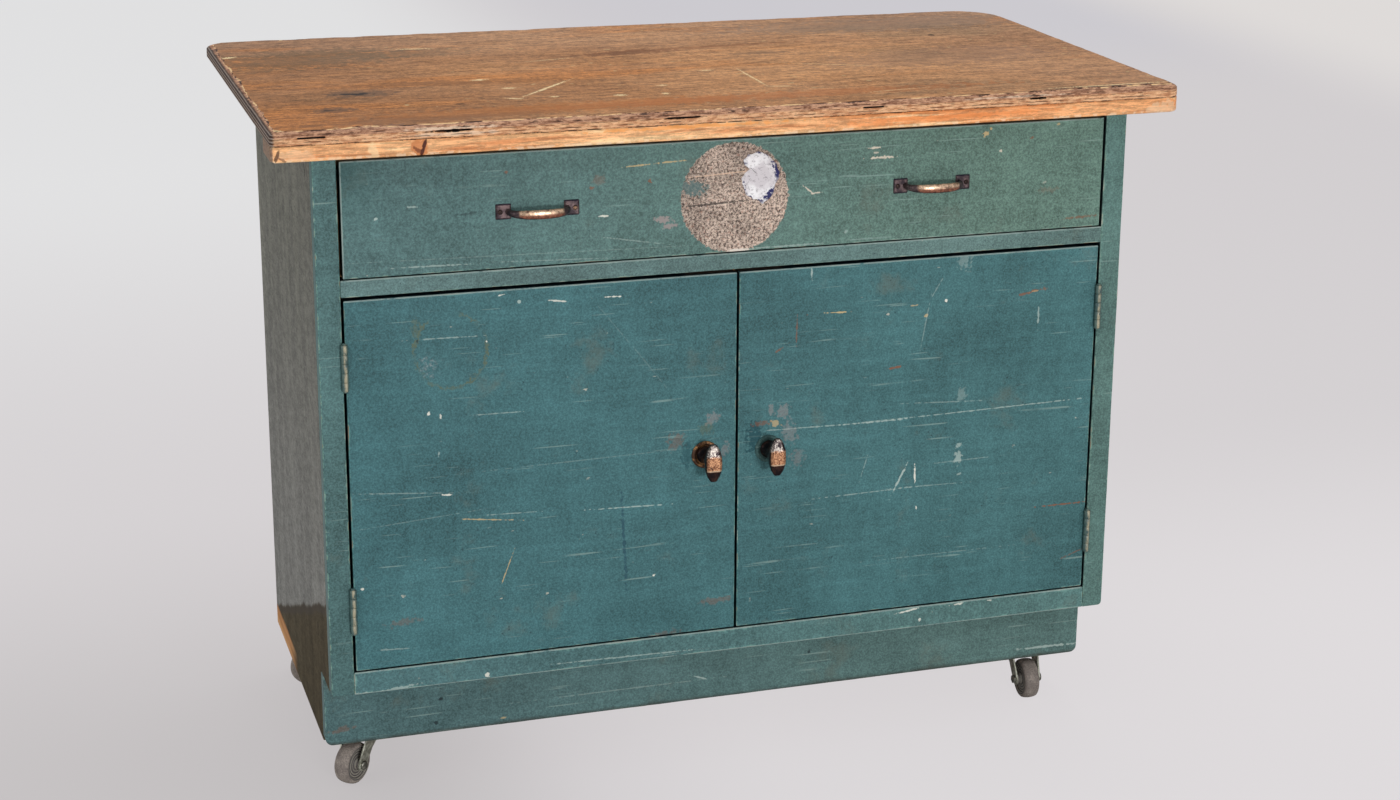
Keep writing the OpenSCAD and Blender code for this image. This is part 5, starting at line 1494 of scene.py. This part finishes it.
# %% The remnant and its finish
def remnant_finish():
    f = Finish("torn remnant", specular=0.3)
    fibre = f.noise(330, detail=3, rough=0.75, seed=141)
    wide = f.noise(50, detail=3, seed=142)
    colour = f.mix(f.fade(wide, 0.4, 0.6), tone(216, 210, 214), tone(250, 248, 250))
    colour = f.mix(f.fade(fibre, 0.54, 0.64, 0, 0.55), colour, tone(124, 112, 122))
    # The rim starts where an oval inside the sheet's border ends
    rag = f.noise(110, detail=3, rough=0.7, seed=143)
    inside = f.blot(f.x, f.z, (24, 752), (20, 29), -8, rag, 0.35, 0.05)
    rim = f.times(f.minus(1.0, inside), f.fade(f.noise(40, detail=2, seed=144), 0.36, 0.46))
    colour = f.mix(rim, colour, tone(48, 50, 98))
    f.bump(fibre, 0.2 * MM, 0.7)
    return f.done(colour, 0.8)


remnant_outline = [(11, 778), (23, 781), (34, 777), (44, 767), (49, 755), (48, 747), (44, 740), (42, 731), (36, 723),
                   (29, 718), (24, 723), (16, 725), (8, 731), (4, 741), (3, 750), (7, 757), (14, 762), (6, 766),
                   (5, 772)]
remnant = torn_sheet("torn_remnant", remnant_outline[::-1], 0.45 * MM, 3.3)
place(remnant, "drawer", "drawer_paint", remnant_finish())

# %% [markdown]
# ## The knobs
#
# Each knob is an olive with cut facets on a turned neck, in front of a thin rosette. The facets have to
# stay flat with crisp but rubbed edges, so the olive is a low mesh with a narrow bevel,
# not a subdivided form. The neck and the rosette are turned.

# %% Knob shapes
KNOB_X = 40 * MM
KNOB_Z = 414 * MM
DOOR_FACE_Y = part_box("door_left")[0][1]
OLIVE_L, OLIVE_W, OLIVE_T, OLIVE_OUT = 46 * MM, 21 * MM, 13 * MM, 33.5 * MM
OLIVE_RINGS = ((-1, 0.32, 0.36), (-0.92, 0.47, 0.46), (-0.72, 0.73, 0.65), (-0.36, 0.96, 0.99), (0, 1, 1),
               (0.36, 0.96, 0.99), (0.72, 0.73, 0.65), (0.92, 0.47, 0.46), (1, 0.32, 0.36))
OLIVE_OUTLINE = ((0.62, 1), (0.9, 0.72), (1, 0.3), (1, -0.3), (0.9, -0.72), (0.62, -1),
                 (-0.62, -1), (-0.9, -0.72), (-1, -0.3), (-1, 0.3), (-0.9, 0.72), (-0.62, 1))


def out_of_door(x, z):
    """Turns a shape's +Z into the way out of the door, and moves it to the door's face."""
    return Matrix.Translation((x, DOOR_FACE_Y, z)) @ Matrix.Rotation(math.radians(90), 4, "X")


def add_olive(bm, x):
    rings = []
    for height, wide, thick in OLIVE_RINGS:
        rings.append([bm.verts.new((x + a * wide * OLIVE_W / 2, DOOR_FACE_Y - OLIVE_OUT + b * thick * OLIVE_T / 2,
                                    KNOB_Z + height * OLIVE_L / 2)) for a, b in OLIVE_OUTLINE])
    faces = skin(bm, rings, smooth=False)
    bmesh.ops.recalc_face_normals(bm, faces=faces)
    edges = {e for face in faces for e in face.edges if e.calc_face_angle(0) > math.radians(9)}
    bevel_edges(bm, list(edges), 0.45 * MM)


NECK = ((0, 1.5), (11, 1.5), (11, 2.6), (10.6, 3.6), (10.1, 4.4), (9.0, 6.6), (8.2, 9.4), (7.8, 12.5),
        (7.7, 16), (7.9, 19), (8.4, 22), (8.9, 25), (9.1, 27.5), (8.6, 29.5), (7.6, 30.6), (0, 30.9))
ROSETTE = ((0, 0), (17, 0), (17, 0.8), (16.7, 1.5), (16.0, 2.2), (15.0, 2.5), (13.6, 2.5), (12.9, 2.2),
           (12.4, 1.5), (11.6, 1.3), (0, 1.3))
print("knobs at", round(KNOB_Z / MM), "mm above the floor")

# %% Knob finish and the two knobs
def knob_finish(name, seed):
    f = Finish(name, metallic=0.8)
    coat = f.noise(120, detail=5, rough=0.7, seed=seed)
    fine = f.noise(900, detail=2, rough=0.7, seed=seed + 1)
    colour = f.mix(f.fade(coat, 0.4, 0.66), tone(34, 26, 30), tone(76, 52, 46))
    out = f.minus(DOOR_FACE_Y, f.y)
    front = f.fade(out, 36.5 * MM, 39.5 * MM)
    up = f.minus(f.z, KNOB_Z)
    band = f.times(f.fade(up, -10.5 * MM, -8.5 * MM), f.fade(up, 11 * MM, 7 * MM))
    copper = f.times(f.times(front, band), f.fade(coat, 0.3, 0.46))
    grit = f.fade(f.noise(460, detail=3, rough=0.75, seed=seed + 2), 0.4, 0.6)
    colour = f.mix(copper, colour, f.mix(grit, tone(120, 74, 54), tone(220, 166, 126)))
    # Painted highlight: the upper front facets of the olive are painted pale grey, as if catching the light
    pale = f.times(f.fade(out, 33.5 * MM, 37 * MM), f.fade(up, 6 * MM, 10 * MM))
    pale = f.times(pale, f.fade(coat, 0.4, 0.54))
    colour = f.lay(colour, pale, 0.8, f.mix(grit, tone(88, 78, 80), tone(198, 190, 180)))
    rim = f.times(f.fade(f.math("ABSOLUTE", f.plus(up, 8.6 * MM)), 0.9 * MM, 0.4 * MM), front)
    colour = f.lay(colour, rim, 0.8, tone(240, 214, 184))
    f.bump(f.plus(coat, f.times(fine, 0.3)), 0.16 * MM, 0.6)
    return f.done(colour, f.blend(f.math("MAXIMUM", copper, pale), 0.34, 0.4))


for side, way in SIDES:
    bm = bmesh.new()
    add_olive(bm, way * KNOB_X)
    turned_shape(bm, NECK, 40, out_of_door(way * KNOB_X, KNOB_Z))
    knob = as_object("knob_" + side + "_olive", bm, outward=True)
    place(knob, side + "_knob", "knob_metal", knob_finish("knob " + side, 151 + way), "knob_" + side)

rubbed_brass = metal_finish("rubbed brass", (84, 60, 46), (190, 140, 92), 161, metallic=0.7, rub_at=(0.44, 0.58))
painted_ring = paint("painted rosette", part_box("rosette_right"), (62, 92, 94), 163, worn=0.6 * MM)
for side, way, slot, finish in (("left", -1, "rosette_metal", rubbed_brass), ("right", 1, "paint", painted_ring)):
    bm = bmesh.new()
    turned_shape(bm, ROSETTE, 56, out_of_door(way * KNOB_X, KNOB_Z))
    ring = as_object("rosette_" + side + "_ring", bm, outward=True)
    place(ring, side + "_door", slot, finish, "rosette_" + side)

# %% [markdown]
# ## The hinges
#
# A butt hinge shows as a barrel of five knuckles between the door and the stile. Three belong to the
# stile's leaf and two to the door's. Geometry Nodes set the knuckles: a straight row of points with
# an even step, and one turned knuckle on each. The two leaves use the same tree with another
# start and count, so the knuckles always mesh.

# %% The tree that sets parts in a row
def row_tree():
    """Sets one part at even steps along a straight line, beside what is there already."""
    tree, sockets = new_tree("parts in a row", Base="Geometry", Part="Object", Material="Material", Count="Int",
                             Start="Vector", Step="Vector")
    new, link = tree.nodes.new, tree.links.new
    given, result = new("NodeGroupInput"), new("NodeGroupOutput")
    line = new("GeometryNodeMeshLine")
    line.mode = "OFFSET"
    link(given.outputs["Count"], line.inputs["Count"])
    link(given.outputs["Start"], line.inputs["Start Location"])
    link(given.outputs["Step"], line.inputs["Offset"])
    part = new("GeometryNodeObjectInfo")
    link(given.outputs["Part"], part.inputs["Object"])
    copies = new("GeometryNodeInstanceOnPoints")
    link(line.outputs[0], copies.inputs["Points"])
    link(part.outputs["Geometry"], copies.inputs["Instance"])
    real, paint_it = new("GeometryNodeRealizeInstances"), new("GeometryNodeSetMaterial")
    join = new("GeometryNodeJoinGeometry")
    link(copies.outputs[0], real.inputs[0])
    link(real.outputs[0], join.inputs[0])
    link(given.outputs["Base"], join.inputs[0])
    link(join.outputs[0], paint_it.inputs[0])
    link(given.outputs["Material"], paint_it.inputs["Material"])
    link(paint_it.outputs[0], result.inputs[0])
    return tree, sockets


ROW_TREE, ROW_SOCKETS = row_tree()
print("row tree:", len(ROW_TREE.nodes), "nodes")

# %% Hinge finish, knuckle and pin
HINGE_L = 55 * MM
KNUCKLE_R = 4 * MM
HINGE_GAP = 3 * MM
LEAF_W = 19 * MM
HINGE_X = 468.5 * MM
HINGE_Y = -260.8 * MM
HINGE_ZS = (263.5 * MM, 560 * MM)
KNUCKLE_L = HINGE_L / 5
KNUCKLE_GAP = 0.3 * MM
LEAF_GAP = 0.15 * MM
SCREW_INSET, SCREW_END = 5.5 * MM, 8 * MM


def hinge_finish(name, x, seed):
    """Old paint over steel, worn to bright metal along the front of the barrel."""
    f = Finish(name, metallic=0.0, specular=0.5)
    coat = f.noise(140, detail=4, rough=0.7, stretch=(1, 1, 0.4), seed=seed)
    colour = f.mix(f.fade(coat, 0.35, 0.65), tone(58, 84, 84), tone(84, 106, 100))
    front = f.fade(f.y, HINGE_Y - 2.2 * MM, HINGE_Y - 3.6 * MM)
    inner = f.fade(f.math("ABSOLUTE", f.minus(f.x, x)), 2.6 * MM, 0.8 * MM)
    worn = f.times(f.times(front, inner), f.fade(coat, 0.36, 0.56))
    colour = f.lay(colour, worn, 0.85, tone(176, 166, 138))
    f.bump(coat, 0.2 * MM, 0.6)
    return f.done(colour, f.fade(coat, 0.35, 0.65, 0.34, 0.5))


KNUCKLE_HALF = (KNUCKLE_L - KNUCKLE_GAP) / 2 / MM
BARREL_R, BORE_R = KNUCKLE_R / MM, 1.55
KNUCKLE = [(BORE_R, -KNUCKLE_HALF), (BARREL_R - 0.35, -KNUCKLE_HALF), (BARREL_R, 0.4 - KNUCKLE_HALF),
           (BARREL_R, KNUCKLE_HALF - 0.4), (BARREL_R - 0.35, KNUCKLE_HALF), (BORE_R, KNUCKLE_HALF),
           (BORE_R, -KNUCKLE_HALF)]
PIN_HALF = ((1.5, 27.5), (3.0, 27.7), (2.7, 28.6), (1.6, 29.3), (0, 29.6))
knuckle_bm, pin_bm = bmesh.new(), bmesh.new()
turned_shape(knuckle_bm, KNUCKLE, 28)
bmesh.ops.remove_doubles(knuckle_bm, verts=knuckle_bm.verts, dist=1e-7)
knuckle = as_object("knuckle", knuckle_bm, outward=True)
turned_shape(pin_bm, [(r, -h) for r, h in PIN_HALF[::-1]] + [*PIN_HALF], 24)
pin = as_object("pin", pin_bm, outward=True)
print("knuckle", len(knuckle.data.polygons), "faces, pin", len(pin.data.polygons))

# %% Hinge leaves in place
def leaf_plate(name, near, far, own):
    """A leaf of two plates, one for each hinge, with tongues only where its own knuckles are."""
    bm = bmesh.new()
    for z in HINGE_ZS:
        low = z - HINGE_L / 2
        add_block(bm, ((near + far) / 2, HINGE_Y + (KNUCKLE_R + KNUCKLE_GAP + LEAF_W) / 2, z),
                  (abs(far - near), LEAF_W - KNUCKLE_R - KNUCKLE_GAP, HINGE_L))
        for k in own:
            add_block(bm, ((near + far) / 2, HINGE_Y + 3.2 * MM, low + (k + 0.5) * KNUCKLE_L),
                      (abs(far - near), 3.6 * MM, KNUCKLE_L - KNUCKLE_GAP))
    return as_object(name, bm)


for side, way in SIDES:
    x = way * HINGE_X
    finish = hinge_finish("hinge " + side, x, 171 + way)
    for label, leaf_way, own, body, nodes in (
            ("frame", way, (0, 2, 4), "carcass", ()),
            ("door", -way, (1, 3), side + "_door", ("hinge_leaves_" + side,))):
        piece = leaf_plate("hinge_" + label + "_leaves_" + side, x + leaf_way * LEAF_GAP,
                           x + leaf_way * HINGE_GAP / 2, own)
        for z in HINGE_ZS:
            start = (x, HINGE_Y, z - HINGE_L / 2 + (own[0] + 0.5) * KNUCKLE_L)
            run_tree(piece, ROW_TREE, ROW_SOCKETS, Part=knuckle, Material=finish, Count=len(own), Start=start,
                     Step=(0, 0, 2 * KNUCKLE_L))
        place(piece, body, "hinge_paint", finish, *nodes)
    pins = set_parts("hinge_pins_" + side, [((x, HINGE_Y, z), (0, 0, 1)) for z in HINGE_ZS], pin, finish, 3)
    place(pins, "carcass", "steel", finish)

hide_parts("hinge_frame_leaves")
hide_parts("hinge_pins")

# %% Hinge screws
steel_screw = metal_finish("steel screw", (88, 84, 78), (150, 146, 136), 181)
LEAF_SCREW_Y = HINGE_Y + LEAF_W - SCREW_INSET
SCREW_STEPS = [k * (HINGE_L / 2 - SCREW_END) for k in (-1, 0, 1)]
frame_places, door_places = [], {"left": [], "right": []}
for side, way in SIDES:
    for z in HINGE_ZS:
        for dz in SCREW_STEPS:
            frame_places.append(((way * (HINGE_X + LEAF_GAP), LEAF_SCREW_Y, z + dz), (-way, 0, 0)))
            door_places[side].append(((way * (HINGE_X - LEAF_GAP), LEAF_SCREW_Y, z + dz), (way, 0, 0)))
place(set_parts("frame_screw_heads", frame_places, flat_head, steel_screw, 11, 0.6), "carcass", "steel", steel_screw,
      "hinge_frame_screws")
for side in ("left", "right"):
    place(set_parts("door_screw_heads_" + side, door_places[side], flat_head, steel_screw, 12, 0.6), side + "_door",
          "steel", steel_screw, "hinge_screws_" + side)

# %% [markdown]
# ## The casters
#
# A caster is a pressed plate, a ball race, a fork and a moulded wheel on an axle bolt. All four are
# the same, steered to different angles, so each part is made once, standing at the origin, and
# then turned into place. The wheel's side has fine moulding rings, which are part of its turned
# profile and not a bump, because they catch the light along their edges.

# %% Caster sizes and the wheel's profile
# The place of each caster's kingpin in millimetres, and the angle to which it is steered
CASTERS = {"front_left": (-443, -145.5, 46), "front_right": (437, -145.5, 3),
           "rear_left": (-443, 159.5, 62), "rear_right": (437, 159.5, -24)}
# The other sizes of a caster, also in millimetres
CASTER_TOP = 72
WHEEL_R, TRAIL = 26.0, 26.0
LEG_IN, LEG_T, LEG_FLARE, LEG_BEND = 14.0, 2.4, 3.0, 34.0
CROWN_TOP, CROWN_LOW = 66.2, 63.8


def steering(name):
    x, y, angle = CASTERS[name]
    return Matrix.Translation((x * MM, y * MM, 0)) @ Matrix.Rotation(math.radians(-angle), 4, "Z")


AXLE = Matrix.Translation((0, -TRAIL * MM, WHEEL_R * MM)) @ Matrix.Rotation(math.radians(90), 4, "Y")


def wheel_profile():
    """Half of the section from the hub to the tread, with its rings, and then its mirror image."""
    half = [(3.05, 0), (3.05, 13.6), (6.4, 13.6), (7.0, 13.1), (7.3, 9.6), (8.2, 7.6), (9.6, 7.5), (9.9, 7.9),
            (10.5, 7.9), (10.8, 7.4), (12.6, 7.3), (12.9, 7.8), (13.5, 7.8), (13.8, 7.3), (15.6, 7.3), (15.9, 7.8),
            (16.5, 7.8), (16.8, 7.4), (17.6, 7.5), (18.2, 8.3), (18.8, 9.6), (19.5, 10.0), (20.6, 10.0),
            (21.0, 9.75), (21.4, 10.0), (22.2, 9.9), (23.6, 9.3), (24.7, 8.2), (25.3, 6.6), (25.65, 4.6),
            (25.9, 2.2), (26.0, 0)]
    return half + [(r, -h) for r, h in half[-2:0:-1]]


print("wheel radius", WHEEL_R, "mm, trail", TRAIL, "mm")

# %% Rubber and zinc
def rubber_finish(name, matrix, seed):
    """Grey rubber with dust. The hub's middle is greyer than the tread."""
    f = Finish(name, specular=0.3)
    dust = f.noise(60, detail=5, rough=0.65, seed=seed)
    fine = f.noise(520, detail=3, rough=0.7, seed=seed + 1)
    colour = f.mix(f.fade(dust, 0.35, 0.65), tone(118, 109, 104), tone(150, 140, 132))
    colour = f.lit(colour, 1.0, (fine, 0.4, 0.6, 0.2))
    centre = matrix @ AXLE @ Vector((0, 0, 0))
    gap = f.node("ShaderNodeVectorMath", operation="DISTANCE")
    f.feed(gap.inputs[0], f.place)
    gap.inputs[1].default_value = centre
    core = f.fade(gap.outputs["Value"], 24.6 * MM, 22.2 * MM)
    rings = f.math("SINE", f.times(gap.outputs["Value"], math.tau / (2.9 * MM)))
    plastic = f.mix(f.fade(rings, -0.6, 0.6), tone(74, 70, 72), tone(148, 144, 134))
    colour = f.lay(colour, core, 0.85, plastic)
    f.bump(f.plus(dust, fine), 0.2 * MM, 0.6)
    return f.done(colour, f.blend(core, 0.72, 0.5))


def zinc_finish(name, seed):
    f = Finish(name, metallic=0.75)
    spangle = f.noise(180, detail=4, rough=0.65, seed=seed)
    grime = f.noise(45, detail=4, seed=seed + 1)
    colour = f.mix(f.fade(spangle, 0.35, 0.65), tone(140, 140, 126), tone(202, 202, 188))
    colour = f.mix(f.fade(grime, 0.48, 0.7, 0, 0.8), colour, tone(64, 56, 58))
    f.bump(spangle, 0.1 * MM, 0.5)
    return f.done(colour, f.fade(grime, 0.35, 0.65, 0.3, 0.5))


print("caster finishes ready")

# %% Fork and axle shapes
CROWN = ((4.05, CROWN_LOW), (17.6, CROWN_LOW), (18.6, CROWN_LOW + 0.5), (19.0, CROWN_LOW + 1.3),
         (18.5, CROWN_TOP - 0.3), (17.8, CROWN_TOP), (4.05, CROWN_TOP), (4.05, CROWN_LOW))
BOSS = ((0, -0.4), (7.2, -0.4), (6.9, 0.25), (6.2, 0.6), (0, 0.6))
LEG_OUT = LEG_IN + LEG_T
SHANK = ((0, -LEG_OUT - 0.6), (3.0, -LEG_OUT - 0.6), (3.0, LEG_OUT), (0, LEG_OUT))
NUT = [(r, LEG_OUT + h) for r, h in ((0, 0.5), (5.7, 0.5), (5.7, 2.2), (5.0, 3.0), (3.2, 3.6), (0, 3.6))]
BOLT_HEAD = [(r, LEG_OUT + h) for r, h in ((0, 0.5), (5.7, 0.5), (5.7, 3.0), (5.0, 3.6), (0, 3.6))]


def leg_outline():
    """The side view of a fork leg, from the crown to the eye round the axle."""
    eye = arc((-TRAIL, WHEEL_R), 8, 186, 342, 10)
    return [(18, CROWN_TOP), (-18, CROWN_TOP), (-18, 60.0), (-TRAIL - 8, WHEEL_R + 2)] + eye \
        + [(-TRAIL + 9.5, WHEEL_R), (-6.5, 41.9), (14, 60.5), (18, 62.0)]


def pour(part, whole):
    """Adds the mesh data of one part to the whole piece."""
    mesh = bpy.data.meshes.new("part")
    part.to_mesh(mesh)
    part.free()
    whole.from_mesh(mesh)
    bpy.data.meshes.remove(mesh)


def fork_mesh(matrix):
    bm = bmesh.new()
    for x in (-LEG_IN - LEG_T, LEG_IN):
        leg = prism([(a * MM, b * MM) for a, b in leg_outline()], "x", x * MM, (x + LEG_T) * MM)
        sharp = [e for e in leg.edges if e.calc_face_angle(0) > math.radians(40)]
        bevel_edges(leg, sharp, 0.5 * MM)
        for vert in leg.verts:
            lean = max(0.0, vert.co.z / MM - LEG_BEND) / (CROWN_TOP - LEG_BEND)
            vert.co.x += math.copysign(LEG_FLARE * lean * MM, x)
        pour(leg, bm)
    turned_shape(bm, CROWN, 40)
    for way in (-1, 1):
        boss = AXLE @ Matrix.Translation((0, 0, way * LEG_OUT * MM))
        if way < 0:
            boss = boss @ Matrix.Rotation(math.pi, 4, "X")
        turned_shape(bm, BOSS, 28, boss)
    bm.transform(matrix)
    return bm


def axle_mesh(matrix):
    """A bolt with a hexagonal head on one leg and a domed nut on the other."""
    bm = bmesh.new()
    head = AXLE @ Matrix.Rotation(math.pi, 4, "X")
    turned_shape(bm, SHANK, 20, AXLE)
    turned_shape(bm, NUT, 24, AXLE)
    made = turned_shape(bm, BOLT_HEAD, 6, head)
    for face in made:
        face.smooth = False
    bm.transform(matrix)
    return bm


print("legs", LEG_IN, "mm from the middle")

# %% Four casters
steel = metal_finish("dull steel", (110, 108, 100), (170, 168, 158), 191, pitch=140)
for k, name in enumerate(CASTERS):
    matrix = steering(name)
    zinc = zinc_finish("zinc " + name.replace("_", " "), 193 + 2 * k)
    bm = bmesh.new()
    turned_shape(bm, wheel_profile() + wheel_profile()[:1], 96, matrix @ AXLE)
    bmesh.ops.remove_doubles(bm, verts=bm.verts, dist=1e-7)
    wheel = as_object("wheel_" + name + "_moulding", bm, outward=True)
    place(wheel, name + "_wheel", "wheel_rubber", rubber_finish("rubber " + name, matrix, 201 + k), "wheel_" + name)
    fork = as_object("fork_" + name + "_pressing", fork_mesh(matrix), outward=True)
    place(fork, name + "_fork", "zinc", zinc, "fork_" + name)
    axle = as_object("axle_" + name + "_bolt", axle_mesh(matrix), outward=True)
    place(axle, name + "_fork", "steel", steel, "axle_" + name)

# %% Caster plates and their screws
PLATE_LOW = CASTER_TOP - 2.5
RACE = ((0, 69.6), (17.0, 69.6), (17.0, 69.2), (16.6, 67.8), (15.6, 66.9), (14.4, 66.6), (0, 66.55))


def plate_bm():
    """Four pressed plates with rounded corners and a swelling race under each."""
    bm = bmesh.new()
    for x, y, _ in CASTERS.values():
        centre = Matrix.Translation((x * MM, y * MM, 0))
        plate = prism(rounded(30 * MM, 24 * MM, 5 * MM, 5), "z", PLATE_LOW * MM, CASTER_TOP * MM)
        sharp = [e for e in plate.edges if e.calc_face_angle(0) > math.radians(60)]
        bevel_edges(plate, sharp, 0.5 * MM, clamp=False)
        plate.transform(centre)
        pour(plate, bm)
        turned_shape(bm, RACE, 40, centre)
    return bm


plates = as_object("caster_plate_pressings", plate_bm(), outward=True)
plates_zinc = zinc_finish("zinc plates", 221)
place(plates, "carcass", "zinc", plates_zinc, "caster_plates")
plate_places = [(((x + a) * MM, (y + b) * MM, PLATE_LOW * MM), (0, 0, -1))
                for x, y, _ in CASTERS.values() for a in (-23, 23) for b in (-17, 17)]
place(set_parts("caster_screw_heads", plate_places, domed_head, steel, 21, 1.35), "carcass", "steel", steel,
      "caster_screws")

# %% [markdown]
# ## The back and the small hidden parts
#
# Behind, a thin panel is nailed into rebates. Its nails are set by the same tree as the screws. The
# latches, the keepers, the kingpins and the screws under the top keep their solids, and only need a
# finish.

# %% Back panel finish
back_low, back_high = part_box("back_panel")


def back_finish():
    f = Finish("back panel", specular=0.3)
    wide = f.noise(2.5, detail=5, rough=0.6, seed=231)
    colour = f.mix(f.fade(wide, 0.32, 0.68), tone(150, 118, 82), tone(178, 144, 104))
    grain = f.noise(34, detail=5, rough=0.6, stretch=(1, 1, 0.07), seed=232, swirl=0.8)
    colour = f.mix(f.fade(grain, 0.42, 0.66, 0, 0.65), colour, tone(118, 86, 56))
    fibre = f.noise(420, detail=2, rough=0.7, stretch=(1, 1, 0.08), seed=233)
    colour = f.mix(f.fade(fibre, 0.5, 0.75, 0, 0.4), colour, tone(96, 70, 48))
    damp = f.noise(4, detail=5, rough=0.65, stretch=(1, 1, 0.4), seed=234)
    low = f.fade(f.z, 0.3, 0.07)
    colour = f.mix(f.times(f.fade(damp, 0.4, 0.62), f.times(low, 0.7)), colour, tone(84, 66, 50))
    drips = f.noise(48, detail=3, stretch=(1, 1, 0.06), seed=235)
    smear = f.times(f.fade(drips, 0.64, 0.7), f.fade(f.z, 0.6, 0.78))
    colour = f.lay(colour, smear, 0.7, tone(*TEAL))
    f.bump(f.plus(grain, fibre), 0.2 * MM, 0.6)
    return f.done(colour, f.fade(wide, 0.3, 0.7, 0.55, 0.7))


print("back panel:", round((back_high[1] - back_low[1]) / MM, 1), "mm thick")

# %% Back panel and nails
piece = box_board("back_panel_board", "back_panel", 0.7 * MM, 0.2 * MM, 26)
place(piece, "carcass", "plywood", back_finish(), "back_panel")
nail_places = []
NAIL_PITCH = 98 * MM
for x in (back_low[0] + 4 * MM, back_high[0] - 4 * MM):
    nail_places += [((x, back_high[1], back_low[2] + 30 * MM + k * NAIL_PITCH), (0, 1, 0)) for k in range(8)]
for k in range(1, 10):
    x = back_low[0] + k * (back_high[0] - back_low[0]) / 10
    nail_places += [((x, back_high[1], z), (0, 1, 0)) for z in (back_low[2] + 40 * MM, back_high[2] - 12 * MM)]
rusty = metal_finish("rusty nail", (92, 62, 46), (128, 104, 88), 241, metallic=0.5, rough=(0.45, 0.7))
place(set_parts("back_nail_heads", nail_places, nail_head, rusty, 31), "carcass", "steel", rusty)

# %% Small solids
for node in ("latch_keepers", "latch_left", "latch_right", "caster_kingpins", "worktop_screws"):
    finish_solid(node, steel)

for helper in (domed_head, flat_head, nail_head, knuckle, pin):
    bpy.data.objects.remove(helper)
